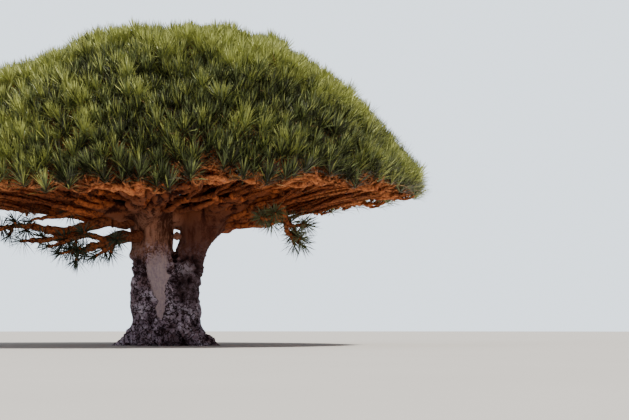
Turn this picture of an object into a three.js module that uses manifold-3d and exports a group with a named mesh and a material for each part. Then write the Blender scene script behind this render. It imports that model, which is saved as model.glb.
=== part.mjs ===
// A dragon blood tree, in millimetres, +Z up, standing on its flat cut at the origin.
// Two fused stems rise from a flared foot and end in two knuckles. Seven boughs leave the knuckles,
// each carrying two side limbs, and three steep boughs carry the top. Every limb ends in one mass of
// foliage, which fills its own cell of a wide, low dome. Three thin boughs hang below the dome.
import * as THREE from "three";
import { mergeVertices } from "three/addons/utils/BufferGeometryUtils.js";
import Module from "manifold-3d";

const wasm = await Module();
wasm.setup();

// Driving dimensions of the crown, named by the side that they are measured on
const APEX_HEIGHT = 5700;
const APEX_SHIFT = 600;
const CROWN_RADIUS = { right: 4770, back: 4620, left: 5450, front: 4560 };
const RIM_HEIGHT = { right: 2930, back: 2800, left: 2850, front: 2560 };
const DOME_POWER = { right: 2.15, back: 3, left: 2.4, front: 3 };
const RIM_LIFT = { height: 200, azimuth: -1.05, width: 0.4 };
const LOBES = { height: 130, waves: 6, rings: 18, twist: 3, phase: -0.25, fullFrom: 0.4 };

// The rings of cells that the dome is cut into: s is 0 on the axis and 1 at the rim
const OUTER_RING = { cells: 14, inner: 0.71, outer: 1, swell: 50 };
const MID_RING = { cells: 7, inner: 0.365, outer: 0.7, swell: 110 };
const TOP_RING = { cells: 3, inner: 0.03, outer: 0.355, swell: 60 };
const CELL_GAP = 28;

// The core of a cell's foliage: its depth under the dome's outline, and how far it fills its cell
const CORE = { depth: 225, thickness: 200, edgeDrop: 95, cornerCut: 0.11, topFill: 0.99, underFill: 0.84 };

// The leaves that stand out of a core, in tufts on a grid, and those of the hanging stars
const DOME_LEAF = { length: 430, width: 130, thickness: 24, shoulder: 0.28, variation: 0.16 };
const TUFT = { across: 3, leaves: 2, spread: 0.5, lift: 0.45, jitter: 0.2, sunk: 110, spacing: 55, margin: 50 };
const LIFTS = [0, 0.5, 1.2];
const STAR_LEAF = { length: 290, width: 56, thickness: 14, shoulder: 0.22 };
const STAR = { upper: { leaves: 3, spread: 0.7 }, lower: { leaves: 4, spread: 3 }, lift: 0.25, budRadius: 90 };

// The trunk: two stems, each from a foot to a knuckle, on a foot with root toes
const LEFT_STEM = { foot: [-150, 10, 0], waist: [-205, -10, 900], top: [-330, 0, 2250], radii: [450, 440, 370] };
const RIGHT_STEM = { foot: [180, 70, 0], waist: [250, 60, 900], top: [645, 90, 2180], radii: [380, 310, 360] };
const LUMPS = [{ height: 0.05, waves: 3, twist: 7 }, { height: 0.035, waves: 5, twist: -13 }];
const LEFT_KNUCKLE = { centre: [-345, 0, 2300], size: [400, 405, 300] };
const RIGHT_KNUCKLE = { centre: [690, 95, 2240], size: [390, 370, 290] };
const FOOT = { height: 900, along: 560, across: 480, taper: 0.42 };
const FLARE = { reach: 540, height: 120, toes: 6, wave: 0.38 };

// Limbs: radii at the trunk's end and at the tip, and where each kind forks off its bough and ends
const BOUGH = { radii: [205, 125], sides: 7, steps: 5, endShare: 0.6, endRise: 10, bendShare: 0.72 };
const SIDE = { radii: [125, 96], sides: 6, steps: 4, fork: 0.42, endShare: 0.6, endRise: 40, bendRise: 90 };
const RISE = { radii: [125, 96], sides: 6, steps: 4, fork: 0.3, endShare: 0.31, endHeight: 3780, bendRise: -120 };
const TOP = { radii: [150, 96], sides: 7, steps: 4, endShare: 0.1, endHeight: 4150, bendRise: -60 };
const LOW = { radii: [92, 44], sides: 6, steps: 5 };

// The branching of a mass, from its stem to its twigs
const STEM_RADIUS = 92;
const TWIG = { radius: 40, depth: 130, fork: 0.48, jitter: 0.12, taper: 0.76 };
const TWIG_ENDS = [[-0.55, -0.4], [0.55, -0.4], [0, 0.5]];
const CLEARANCE = 0.35;
const FLATNESS = 0.1;
const SEED = 20;

const UP = new THREE.Vector3(0, 0, 1);
const TURN = 2 * Math.PI;

// A seeded source of numbers from 0 to 1
function randomFrom(seed) {
  let state = seed;
  return () => {
    state = (state + 0x6d2b79f5) | 0;
    let mixed = Math.imul(state ^ (state >>> 15), 1 | state);
    mixed = (mixed + Math.imul(mixed ^ (mixed >>> 7), 61 | mixed)) ^ mixed;
    return ((mixed ^ (mixed >>> 14)) >>> 0) / 2 ** 32;
  };
}

// The value at an azimuth of a size that is given for four sides
function around(sides, azimuth) {
  const east = Math.cos(azimuth);
  const north = Math.sin(azimuth);
  return east ** 2 * (east > 0 ? sides.right : sides.left) + north ** 2 * (north > 0 ? sides.back : sides.front);
}

// The height of the crown's rim at an azimuth: it is lifted on the near right
function rimHeight(azimuth) {
  const turn = ((azimuth - RIM_LIFT.azimuth + 5 * Math.PI) % TURN) - Math.PI;
  return around(RIM_HEIGHT, azimuth) + RIM_LIFT.height * Math.exp(-((turn / RIM_LIFT.width) ** 2));
}

// How far the crown's lobes stand out of the dome's outline: they fade towards the axis and the rim
function lobe(azimuth, s) {
  const fade = Math.min(s / LOBES.fullFrom, 1) * (1 - s ** 4);
  const across = Math.cos(LOBES.waves * azimuth);
  return LOBES.height * fade * across * Math.sin(LOBES.rings * s + LOBES.twist * azimuth + LOBES.phase);
}

// The point of the dome's outline at an azimuth and a share s of the way from the axis to the rim
function outline(azimuth, s) {
  const radius = around(CROWN_RADIUS, azimuth) * s;
  const rim = rimHeight(azimuth);
  const height = rim + (APEX_HEIGHT - rim) * (1 - s ** around(DOME_POWER, azimuth));
  return new THREE.Vector3(Math.cos(azimuth) * radius + APEX_SHIFT * (1 - s), Math.sin(azimuth) * radius, height);
}

// The outward direction of the dome's outline
function outward(azimuth, s) {
  const step = 0.01;
  const inner = Math.max(s, 0.02);
  const slope = outline(azimuth, inner + step).sub(outline(azimuth, inner - step));
  const sideways = new THREE.Vector3(-Math.sin(azimuth), Math.cos(azimuth), 0);
  return slope.cross(sideways).normalize();
}

// Moves every vertex of a closed geometry to where place puts it
function reshaped(geometry, place) {
  const position = geometry.getAttribute("position");
  for (let i = 0; i < position.count; i += 1) {
    const moved = place(new THREE.Vector3().fromBufferAttribute(position, i));
    position.setXYZ(i, moved.x, moved.y, moved.z);
  }
  return geometry;
}

// The solid that a closed geometry bounds
function solid(geometry) {
  geometry.deleteAttribute("normal");
  geometry.deleteAttribute("uv");
  const merged = mergeVertices(geometry, 0.001);
  return new wasm.Manifold(
    new wasm.Mesh({
      numProp: 3,
      vertProperties: merged.getAttribute("position").array,
      triVerts: new Uint32Array(merged.index.array),
    }),
  );
}

// The largest body of a solid, without the scraps that a cut can leave and with its flat faces merged
function largest(made) {
  const whole = made.decompose().reduce((best, body) => (body.volume() > best.volume() ? body : best));
  return whole.asOriginal().simplify(FLATNESS);
}

// A tapering limb along a curve, with flat ends
function limb(curve, startRadius, endRadius, sides, steps) {
  const frames = curve.computeFrenetFrames(steps, false);
  const place = (point) => {
    const ring = Math.round((point.y + 0.5) * steps);
    const radius = THREE.MathUtils.lerp(startRadius, endRadius, ring / steps);
    return curve
      .getPoint(ring / steps)
      .addScaledVector(frames.binormals[ring], point.x * radius)
      .addScaledVector(frames.normals[ring], point.z * radius);
  };
  return solid(reshaped(new THREE.CylinderGeometry(1, 1, 1, sides, steps), place));
}

function vector(values) {
  return new THREE.Vector3(...values);
}

// One of the trunk's two stems, grown all round by extra
function stem(sizes, extra) {
  const [foot, waist, top] = [sizes.foot, sizes.waist, sizes.top].map(vector);
  top.addScaledVector(UP, extra);
  const curve = new THREE.CatmullRomCurve3([foot, waist, top]);
  const sides = 12;
  const steps = 6;
  const frames = curve.computeFrenetFrames(steps, false);
  const place = (point) => {
    const ring = Math.round((point.y + 0.5) * steps);
    const share = ring / steps;
    const [low, middle, high] = sizes.radii;
    const radius = share < 0.5
      ? THREE.MathUtils.lerp(low, middle, share * 2)
      : THREE.MathUtils.lerp(middle, high, share * 2 - 1);
    const angle = Math.atan2(point.x, point.z);
    const bulge = ({ height, waves, twist }) => height * Math.sin(waves * angle + twist * share);
    const lump = LUMPS.reduce((sum, wave) => sum + bulge(wave), 1);
    const reach = radius * lump + extra;
    const centre = curve.getPoint(share);
    if (ring === 0) {
      return new THREE.Vector3(centre.x + point.x * reach, centre.y - point.z * reach, 0);
    }
    return centre
      .addScaledVector(frames.binormals[ring], point.x * reach)
      .addScaledVector(frames.normals[ring], point.z * reach);
  };
  return solid(reshaped(new THREE.CylinderGeometry(1, 1, 1, sides, steps), place));
}

// The flared foot with its root toes, from the flat cut to inside the stems
function foot(extra) {
  const sides = 24;
  const steps = 5;
  const place = (point) => {
    const share = point.y + 0.5;
    const height = FOOT.height * share ** 2;
    const angle = Math.atan2(point.x, point.z);
    const toes = 1 - FLARE.wave * (1 - Math.cos(FLARE.toes * angle + 0.8 * Math.sin(2 * angle)));
    const flare = FLARE.reach * toes * Math.exp(-height / FLARE.height);
    const body = 1 - FOOT.taper * share ** 2;
    return new THREE.Vector3(
      point.x * (FOOT.along * body + flare + extra),
      -point.z * (FOOT.across * body + flare + extra),
      height,
    );
  };
  return solid(reshaped(new THREE.CylinderGeometry(1, 1, 1, sides, steps), place));
}

// The knuckle on top of a stem, where its boughs spring from
function knuckle({ centre, size }, extra) {
  const place = (point) =>
    new THREE.Vector3(
      centre[0] + point.x * (size[0] + extra),
      centre[1] + point.y * (size[1] + extra),
      centre[2] + point.z * (size[2] + extra),
    );
  return solid(reshaped(new THREE.IcosahedronGeometry(1, 1), place));
}

function trunk(extra = 0) {
  return foot(extra)
    .add(stem(LEFT_STEM, extra))
    .add(stem(RIGHT_STEM, extra))
    .add(knuckle(LEFT_KNUCKLE, extra))
    .add(knuckle(RIGHT_KNUCKLE, extra));
}

// The cells of a ring, each with its limits and its middle
function cellsOf(ring, name, offset) {
  const width = TURN / ring.cells;
  return Array.from({ length: ring.cells }, (_, index) => ({
    ...ring,
    name: `${name}_${String(index + 1).padStart(2, "0")}`,
    azimuth: (index + offset) * width,
    halfWidth: width / 2,
  }));
}

// The point of a cell at a from -1 to 1 round the crown, b from -1 at the outer edge to 1, and a depth
function inCell(cell, a, b, depth) {
  const s = cell.outer - ((b + 1) / 2) * (cell.outer - cell.inner);
  const span = around(CROWN_RADIUS, cell.azimuth) * Math.max(s, 0.05);
  const angle = cell.azimuth + a * Math.max(cell.halfWidth - CELL_GAP / span, 0);
  const swell = cell.swell * (1 - a * a) * (1 - b * b);
  return outline(angle, s).addScaledVector(outward(angle, s), swell + lobe(angle, s) - depth);
}

// The curved core of a cell's foliage, with its corners cut and its edges lower than its middle
function core(cell) {
  const place = (point) => {
    const under = point.z < 0;
    const corner = Math.abs(point.x * point.y) ** 3;
    const fill = (under ? CORE.underFill : CORE.topFill) * (1 - CORE.cornerCut * corner);
    const atEdge = Math.max(Math.abs(point.x), Math.abs(point.y)) > 0.99;
    const depth = CORE.depth + (atEdge ? CORE.edgeDrop : 0) + (under ? CORE.thickness : 0);
    return inCell(cell, point.x * fill, point.y * fill, depth);
  };
  return solid(reshaped(new THREE.BoxGeometry(2, 2, 2, 4, 2, 1), place));
}

// One pointed leaf of eight faces, from its root along a direction
function leaf(root, direction, { length, width, thickness, shoulder }) {
  const across = new THREE.Vector3().crossVectors(direction, UP);
  if (across.length() < 0.1) across.set(1, 0, 0);
  across.normalize();
  const face = new THREE.Vector3().crossVectors(across, direction);
  const place = (point) => {
    const along = point.y > 0.5 ? 1 : point.y < -0.5 ? 0 : shoulder;
    return root
      .clone()
      .addScaledVector(direction, along * length)
      .addScaledVector(across, (point.x * width) / 2)
      .addScaledVector(face, (point.z * thickness) / 2);
  };
  return reshaped(new THREE.OctahedronGeometry(1, 0), place);
}

// The directions of a tuft's leaves, spread evenly about its axis
function tuftDirections(axis, count, spread, phase) {
  const side = new THREE.Vector3().crossVectors(axis, new THREE.Vector3(0.31, 0.95, 0.05)).normalize();
  const other = new THREE.Vector3().crossVectors(axis, side);
  return Array.from({ length: count }, (_, index) => {
    const angle = phase + (index / count) * TURN;
    return axis
      .clone()
      .addScaledVector(side, Math.cos(angle) * spread)
      .addScaledVector(other, Math.sin(angle) * spread)
      .normalize();
  });
}

// The azimuth and the share s of the outline's point above or below a point, found by closing in on it
function placeUnder(point) {
  let place = { azimuth: 0, s: 0.5, radius: 0 };
  for (let pass = 0; pass < 8; pass += 1) {
    const east = point.x - APEX_SHIFT * (1 - place.s);
    const azimuth = Math.atan2(point.y, east);
    const radius = Math.hypot(east, point.y);
    place = { azimuth, s: Math.min(radius / around(CROWN_RADIUS, azimuth), 1.2), radius };
  }
  return place;
}

// True if a point lies in the column of space that a cell's foliage keeps to
function keepsTo(cell, point, margin) {
  const { azimuth, s, radius } = placeUnder(point);
  const turn = Math.abs(((azimuth - cell.azimuth + 5 * Math.PI) % TURN) - Math.PI);
  const room = radius * Math.sin(Math.max(cell.halfWidth - turn, 0));
  const edge = margin / around(CROWN_RADIUS, azimuth);
  const beyondEdge = cell.outer < 1 ? s > cell.outer - edge : s > 1.005;
  return room > margin && !beyondEdge && s > cell.inner + edge;
}

// The leaves of a cell: tufts on a jittered grid, rooted in the core
function leavesOf(cell, random) {
  const leaves = [];
  const share = (index) => ((index + 0.5) / TUFT.across) * 2 - 1 + (random() - 0.5) * TUFT.jitter;
  for (let row = 0; row < TUFT.across; row += 1) {
    for (let column = 0; column < TUFT.across; column += 1) {
      const a = share(column);
      const b = share(row);
      const root = inCell(cell, a, b, CORE.depth + TUFT.sunk);
      const axis = inCell(cell, a, b, 0).sub(root).normalize().addScaledVector(UP, TUFT.lift).normalize();
      const length = DOME_LEAF.length * (1 + DOME_LEAF.variation * (random() - 0.5));
      tuftDirections(axis, TUFT.leaves, TUFT.spread, random() * TURN).forEach((direction) => {
        const aside = direction.clone().sub(axis).normalize();
        const base = root.clone().addScaledVector(aside, TUFT.spacing);
        const fits = (way) =>
          keepsTo(cell, base.clone().addScaledVector(way, length), TUFT.margin / 3) &&
          keepsTo(cell, base.clone().addScaledVector(way, length / 2), TUFT.margin);
        const fitting = LIFTS.map((lift) => direction.clone().addScaledVector(UP, lift).normalize()).find(fits);
        if (fitting) leaves.push(solid(leaf(base, fitting, { ...DOME_LEAF, length })));
      });
    }
  }
  return leaves;
}

function middleOf(points) {
  return points.reduce((sum, point) => sum.add(point), new THREE.Vector3()).divideScalar(points.length);
}

// Two halves of a set of points, parted across its widest spread
function halves(points) {
  const box = new THREE.Box3().setFromPoints(points);
  const size = box.getSize(new THREE.Vector3());
  const axis = ["x", "y", "z"].reduce((best, name) => (size[name] > size[best] ? name : best));
  const sorted = [...points].sort((one, other) => one[axis] - other[axis]);
  const half = Math.ceil(sorted.length / 2);
  return [sorted.slice(0, half), sorted.slice(half)];
}

// Twigs that fork in two, again and again, from one point to every target
function twigs(from, radius, targets, random) {
  if (targets.length === 1) return [limb(new THREE.LineCurve3(from, targets[0]), radius, TWIG.radius, 3, 1)];
  const reach = middleOf(targets).sub(from);
  const jitter = new THREE.Vector3(random() - 0.5, random() - 0.5, random() - 0.5);
  const fork = from.clone().addScaledVector(reach, TWIG.fork).addScaledVector(jitter, reach.length() * TWIG.jitter);
  const thinner = Math.max(radius * TWIG.taper, TWIG.radius);
  const sunk = fork.clone().addScaledVector(reach.normalize(), thinner * 0.4);
  const grown = halves(targets).flatMap((part) => twigs(fork, thinner, part, random));
  return [limb(new THREE.LineCurve3(from, sunk), radius, thinner, 3, 1), ...grown];
}

// The stem of a mass, which meets its limb's tip square on, and the twigs that it forks into
function branching(tip, heading, radius, targets, random) {
  const start = tip.clone().addScaledVector(heading, CLEARANCE);
  const reach = middleOf(targets).sub(start);
  const bend = start.clone().addScaledVector(heading, reach.length() * 0.2);
  const fork = start.clone().addScaledVector(reach, 0.42);
  const curve = new THREE.QuadraticBezierCurve3(start, bend, fork);
  const root = curve.getPoint(0.9);
  const grown = halves(targets).flatMap((part) => twigs(root, radius * TWIG.taper, part, random));
  return [limb(curve, radius, radius * 0.8, 5, 2), ...grown];
}

// One mass of the dome: its branching, the core that the twigs end in, and the leaves out of the core
function domeMass(cell, tip, heading, random) {
  const targets = TWIG_ENDS.map(([a, b]) => inCell(cell, a, b, CORE.depth + TWIG.depth));
  const branches = branching(tip, heading, STEM_RADIUS, targets, random);
  return wasm.Manifold.union([...branches, core(cell), ...leavesOf(cell, random)]);
}

// One hanging mass: its branching, where each twig ends in a bud with a star of leaves
function hangingMass(tip, heading, ends, random) {
  const stars = ends.flatMap((end) => {
    const axis = end.clone().sub(tip).normalize().addScaledVector(UP, STAR.lift).normalize();
    const ways = [STAR.upper, STAR.lower].flatMap(({ leaves, spread }) =>
      tuftDirections(axis, leaves, spread, random() * TURN),
    );
    const bud = reshaped(new THREE.IcosahedronGeometry(STAR.budRadius, 0), (point) => point.add(end));
    return [solid(bud), ...ways.map((way) => solid(leaf(end, way, STAR_LEAF)))];
  });
  return wasm.Manifold.union([...branching(tip, heading, LOW.radii[1], ends, random), ...stars]);
}

const colours = {
  trunk: new THREE.MeshStandardMaterial({ color: 0x6b5750, roughness: 0.95, metalness: 0 }),
  bough: new THREE.MeshStandardMaterial({ color: 0x7d4a2e, roughness: 0.9, metalness: 0 }),
  foliage: new THREE.MeshStandardMaterial({ color: 0x55632a, roughness: 0.7, metalness: 0 }),
};

const tree = new THREE.Group();
const limbs = [];

function geometryOf(made) {
  const { vertProperties, triVerts } = made.getMesh();
  const geometry = new THREE.BufferGeometry();
  geometry.setAttribute("position", new THREE.BufferAttribute(vertProperties, 3));
  geometry.setIndex(new THREE.BufferAttribute(triVerts, 1));
  geometry.computeVertexNormals();
  return geometry;
}

// Adds one named mesh; a piece that hangs by less than a thousandth of a millimetre is left off
function addMesh(name, made, material) {
  const welded = largest(solid(geometryOf(largest(made))));
  const mesh = new THREE.Mesh(geometryOf(welded), material);
  mesh.name = name;
  tree.add(mesh);
}

// Adds a tapering limb, cut clear of the trunk and of the limbs before it, and returns its curve
function addLimb(name, points, { radii: [start, end], sides, steps }) {
  const curve = points.length === 3 ? new THREE.QuadraticBezierCurve3(...points) : new THREE.CatmullRomCurve3(points);
  const grown = limbs.reduce((whole, other) => whole.subtract(other), limb(curve, start, end, sides, steps));
  addMesh(name, grown, colours.bough);
  limbs.push(limb(curve, start + CLEARANCE * 1.2, end + CLEARANCE * 1.2, sides, steps));
  return curve;
}

// A point of the crown at an azimuth, a share of its radius and a height
function crownPoint(azimuth, s, height) {
  const radius = around(CROWN_RADIUS, azimuth) * s;
  return new THREE.Vector3(Math.cos(azimuth) * radius, Math.sin(azimuth) * radius, height);
}

// The ends of a limb, with the point between them that its curve bends towards
function bentBetween(from, to, share, rise) {
  return [from, from.clone().lerp(to, share).addScaledVector(UP, rise), to];
}

// A bough's points: it rises fast and then levels out under its cell
function boughPoints(from, cell) {
  const to = crownPoint(cell.azimuth, BOUGH.endShare, rimHeight(cell.azimuth) + BOUGH.endRise);
  return bentBetween(from, to, 0.5, (BOUGH.bendShare - 0.5) * (to.z - from.z));
}

const random = randomFrom(SEED);
const outerCells = cellsOf(OUTER_RING, "foliage_outer", 0.1);
const midCells = cellsOf(MID_RING, "foliage_mid", 0.3);
const topCells = cellsOf(TOP_RING, "foliage_top", 0.75);
const leftStart = vector(LEFT_KNUCKLE.centre);
const rightStart = vector(RIGHT_KNUCKLE.centre);
const masses = [];

addMesh("trunk", trunk(), colours.trunk);
limbs.push(trunk(CLEARANCE));

midCells.forEach((above, i) => {
  const own = outerCells[2 * i];
  const beside = outerCells[2 * i + 1];
  const name = `bough_${String(i + 1).padStart(2, "0")}`;
  const start = i < 2 || i === MID_RING.cells - 1 ? rightStart : leftStart;
  const bough = addLimb(name, boughPoints(start, own), BOUGH);
  masses.push({ cell: own, curve: bough });

  const sideEnd = crownPoint(beside.azimuth, SIDE.endShare, rimHeight(beside.azimuth) + SIDE.endRise);
  const side = addLimb(`${name}_side`, bentBetween(bough.getPoint(SIDE.fork), sideEnd, 0.5, SIDE.bendRise), SIDE);
  masses.push({ cell: beside, curve: side });

  const riseEnd = crownPoint(above.azimuth, RISE.endShare, RISE.endHeight);
  const rise = addLimb(`${name}_rise`, bentBetween(bough.getPoint(RISE.fork), riseEnd, 0.45, RISE.bendRise), RISE);
  masses.push({ cell: above, curve: rise });
});

topCells.forEach((cell, index) => {
  const start = index === TOP_RING.cells - 1 ? rightStart : leftStart;
  const end = crownPoint(cell.azimuth, TOP.endShare, TOP.endHeight);
  const curve = addLimb(`bough_top_${index + 1}`, bentBetween(start, end, 0.5, TOP.bendRise), TOP);
  masses.push({ cell, curve });
});

// The thin boughs that hang below the dome, each with the ends of its mass's twigs
const rightLimb = masses.find(({ cell }) => cell.name === "foliage_outer_14").curve;
const HANGING = [
  {
    name: "left_far",
    route: [[-330, -60, 2200], [-1000, -260, 2215], [-1750, -330, 2030], [-2150, -330, 2060]],
    ends: [[-2640, -450, 1960], [-2500, -180, 2240], [-3100, -330, 2100]],
  },
  {
    name: "left_near",
    route: [[-300, -120, 1960], [-780, -430, 1990], [-1120, -560, 1800]],
    ends: [[-1350, -420, 1590], [-1600, -860, 1880], [-1950, -560, 1720]],
  },
  {
    name: "right",
    route: [rightLimb.getPoint(0.55).toArray(), [2020, -900, 2330], [2090, -800, 2020]],
    ends: [[2060, -960, 1790], [2330, -760, 1740], [2220, -560, 1910]],
  },
];

const hanging = HANGING.map(({ name, route, ends }) => {
  const curve = addLimb(`low_bough_${name}`, route.map(vector), LOW);
  return { name, curve, ends: ends.map(vector) };
});

masses.forEach(({ cell, curve }) => {
  addMesh(cell.name, domeMass(cell, curve.getPoint(1), curve.getTangent(1), random), colours.foliage);
});

hanging.forEach(({ name, curve, ends }) => {
  const made = hangingMass(curve.getPoint(1), curve.getTangent(1), ends, random);
  addMesh(`low_foliage_${name}`, made, colours.foliage);
});

export default tree;
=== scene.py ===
"""A dragon blood tree, in metres, +Z up, standing on its flat cut at the origin.

Two fused stems carry the main boughs. Long limbs leave the boughs, fork again and again by halves under
a wide, low dome, and end in rosettes of sword-shaped leaves. Three thin boughs hang below the dome.
"""

import logging
import math
from dataclasses import dataclass, field
from enum import Enum
from typing import Callable, Sequence

import bmesh
import bpy
import numpy as np
from mathutils import Matrix, Vector


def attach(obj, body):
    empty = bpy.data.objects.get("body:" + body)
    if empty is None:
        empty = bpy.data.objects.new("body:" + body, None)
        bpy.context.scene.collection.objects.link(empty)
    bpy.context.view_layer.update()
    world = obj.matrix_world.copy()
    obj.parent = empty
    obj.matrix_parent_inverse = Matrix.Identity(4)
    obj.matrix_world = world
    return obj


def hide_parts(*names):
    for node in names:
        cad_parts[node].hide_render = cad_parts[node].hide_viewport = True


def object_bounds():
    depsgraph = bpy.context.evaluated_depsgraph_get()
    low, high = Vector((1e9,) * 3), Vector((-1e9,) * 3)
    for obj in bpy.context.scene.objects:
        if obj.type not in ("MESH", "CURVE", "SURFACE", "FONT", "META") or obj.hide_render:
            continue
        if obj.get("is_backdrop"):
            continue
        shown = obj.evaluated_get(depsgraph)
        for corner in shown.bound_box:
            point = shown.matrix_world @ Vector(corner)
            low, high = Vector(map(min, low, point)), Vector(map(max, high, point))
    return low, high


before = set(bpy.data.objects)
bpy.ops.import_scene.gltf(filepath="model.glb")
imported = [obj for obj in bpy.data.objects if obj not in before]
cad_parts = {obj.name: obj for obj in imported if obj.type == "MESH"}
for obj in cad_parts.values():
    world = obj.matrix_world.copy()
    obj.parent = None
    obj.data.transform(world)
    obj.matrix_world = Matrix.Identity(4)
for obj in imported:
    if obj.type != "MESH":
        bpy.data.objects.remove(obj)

LOG = logging.getLogger("dragon_blood_tree")
TURN = 2.0 * math.pi
GOLDEN_ANGLE = math.pi * (3.0 - math.sqrt(5.0))
UP = np.array((0.0, 0.0, 1.0))
SEED = 20
MOST_TRIANGLES = 190_000
LEAF_TRIANGLES = 3
LEAF_POINTS = 5
BARK_SPECULAR = 0.2
AXIS_PRIMES = np.array((73856093, 19349663, 83492791))
SEED_PRIME = 2654435761
STIR_PRIME = 1274126177
SIXTEEN_BITS = 0xFFFF


# Small helpers for arrays of points


def unit(vectors: np.ndarray) -> np.ndarray:
    """Gives vectors a length of one."""
    return vectors / np.maximum(np.linalg.norm(vectors, axis=-1, keepdims=True), 1e-9)


def blend(one: np.ndarray, other: np.ndarray, share: np.ndarray | float) -> np.ndarray:
    """Mixes two values by a share from 0 to 1."""
    return one + (other - one) * share


def smooth_step(low: float, high: float, value: np.ndarray) -> np.ndarray:
    """Rises smoothly from 0 at low to 1 at high."""
    share = np.clip((value - low) / (high - low), 0.0, 1.0)
    return share * share * (3.0 - 2.0 * share)


def lattice_noise(points: np.ndarray, seed: int = 0) -> np.ndarray:
    """Smooth noise from -1 to 1, with one lump for each unit of space.

    Args:
        points: the places to read, one row each.
        seed: picks one of many fields of noise.

    Returns:
        One number for each row.
    """
    cell = np.floor(points).astype(np.int64)
    inside = points - cell
    ease = inside * inside * (3.0 - 2.0 * inside)
    total = np.zeros(len(points))
    for corner in range(8):
        step = np.array((corner & 1, corner >> 1 & 1, corner >> 2 & 1))
        number = np.bitwise_xor.reduce((cell + step) * AXIS_PRIMES, axis=1) ^ seed * SEED_PRIME
        stirred = (number ^ number >> 13) * STIR_PRIME
        value = (stirred >> 7 & SIXTEEN_BITS) / (SIXTEEN_BITS / 2) - 1.0
        total += value * np.prod(np.where(step == 1, ease, 1.0 - ease), axis=1)
    return total


def layered_noise(points: np.ndarray, layers: int, seed: int = 0) -> np.ndarray:
    """Adds layers of noise, each half as wide and half as strong as the one before."""
    return sum(lattice_noise(points * 2.0**layer, seed + layer) / 2.0**layer for layer in range(layers))


def arc_weights(share: float | np.ndarray) -> tuple:
    """Gives how much an arc's start, the slope there, its end and the slope there add to a point of it."""
    square, cube = share**2, share**3
    return 2 * cube - 3 * square + 1, cube - 2 * square + share, 3 * square - 2 * cube, cube - square


def heading_weights(share: float | np.ndarray) -> tuple:
    """Gives how much the same four add to the arc's direction at a point of it."""
    square = share**2
    return 6 * square - 6 * share, 3 * square - 4 * share + 1, 6 * share - 6 * square, 3 * square - 2 * share


def mesh_from(name: str, points: np.ndarray, faces: Sequence[np.ndarray]) -> bpy.types.Mesh:
    """Joins many small shapes into one mesh.

    Args:
        name: the mesh's name.
        points: the place of each vertex.
        faces: arrays of vertex numbers, each array with its own number of corners to a face.

    Returns:
        The mesh.
    """
    mesh = bpy.data.meshes.new(name)
    corners = np.concatenate([kind.ravel() for kind in faces])
    sizes = np.concatenate([np.full(len(kind), kind.shape[1]) for kind in faces])
    starts = np.concatenate(([0], np.cumsum(sizes)[:-1]))
    mesh.vertices.add(len(points))
    mesh.vertices.foreach_set("co", points.astype(np.float32).ravel())
    mesh.loops.add(len(corners))
    mesh.loops.foreach_set("vertex_index", corners.astype(np.int32))
    mesh.polygons.add(len(sizes))
    mesh.polygons.foreach_set("loop_start", starts.astype(np.int32))
    mesh.update(calc_edges=True)
    return mesh


def place_piece(mesh: bpy.types.Mesh, finish: bpy.types.Material, nodes: Sequence[str]) -> None:
    """Puts a finished mesh into the scene as one piece.

    Args:
        mesh: the mesh, whose name is the piece's name.
        finish: the material that the piece wears.
        nodes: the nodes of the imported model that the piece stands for.
    """
    piece = bpy.data.objects.new(mesh.name, mesh)
    bpy.context.scene.collection.objects.link(piece)
    mesh.materials.append(finish)
    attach(piece, "root")
    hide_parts(*nodes)
    triangles = sum(len(face.vertices) - 2 for face in mesh.polygons)
    LOG.info("%s: %d triangles", mesh.name, triangles)


# The shader bench


class Reading:
    """A socket of a material, on which Python's operators work."""

    def __init__(self, bench: "Bench", socket: bpy.types.NodeSocket) -> None:
        """Keeps the socket and the bench that it stands on."""
        self.bench = bench
        self.socket = socket

    def _with(self, operation: str, other: "Reading | float", swapped: bool = False) -> "Reading":
        """Adds one Math node for this value and another."""
        first, second = (other, self) if swapped else (self, other)
        return self.bench.add("ShaderNodeMath", {"operation": operation}, {0: first, 1: second})

    def __add__(self, other: "Reading | float") -> "Reading":
        """Adds."""
        return self._with("ADD", other)

    def __radd__(self, other: float) -> "Reading":
        """Adds, from the right."""
        return self._with("ADD", other, True)

    def __sub__(self, other: "Reading | float") -> "Reading":
        """Subtracts."""
        return self._with("SUBTRACT", other)

    def __rsub__(self, other: float) -> "Reading":
        """Subtracts this value from another."""
        return self._with("SUBTRACT", other, True)

    def __mul__(self, other: "Reading | float") -> "Reading":
        """Multiplies."""
        return self._with("MULTIPLY", other)

    def __rmul__(self, other: float) -> "Reading":
        """Multiplies, from the right."""
        return self._with("MULTIPLY", other, True)

    def between(self, low: float, high: float) -> "Reading":
        """Rises smoothly from 0 where this value is low to 1 where it is high."""
        settings = {"interpolation_type": "SMOOTHSTEP", "clamp": True}
        return self.bench.add("ShaderNodeMapRange", settings, {0: self, 1: low, 2: high}, "Result")


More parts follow.
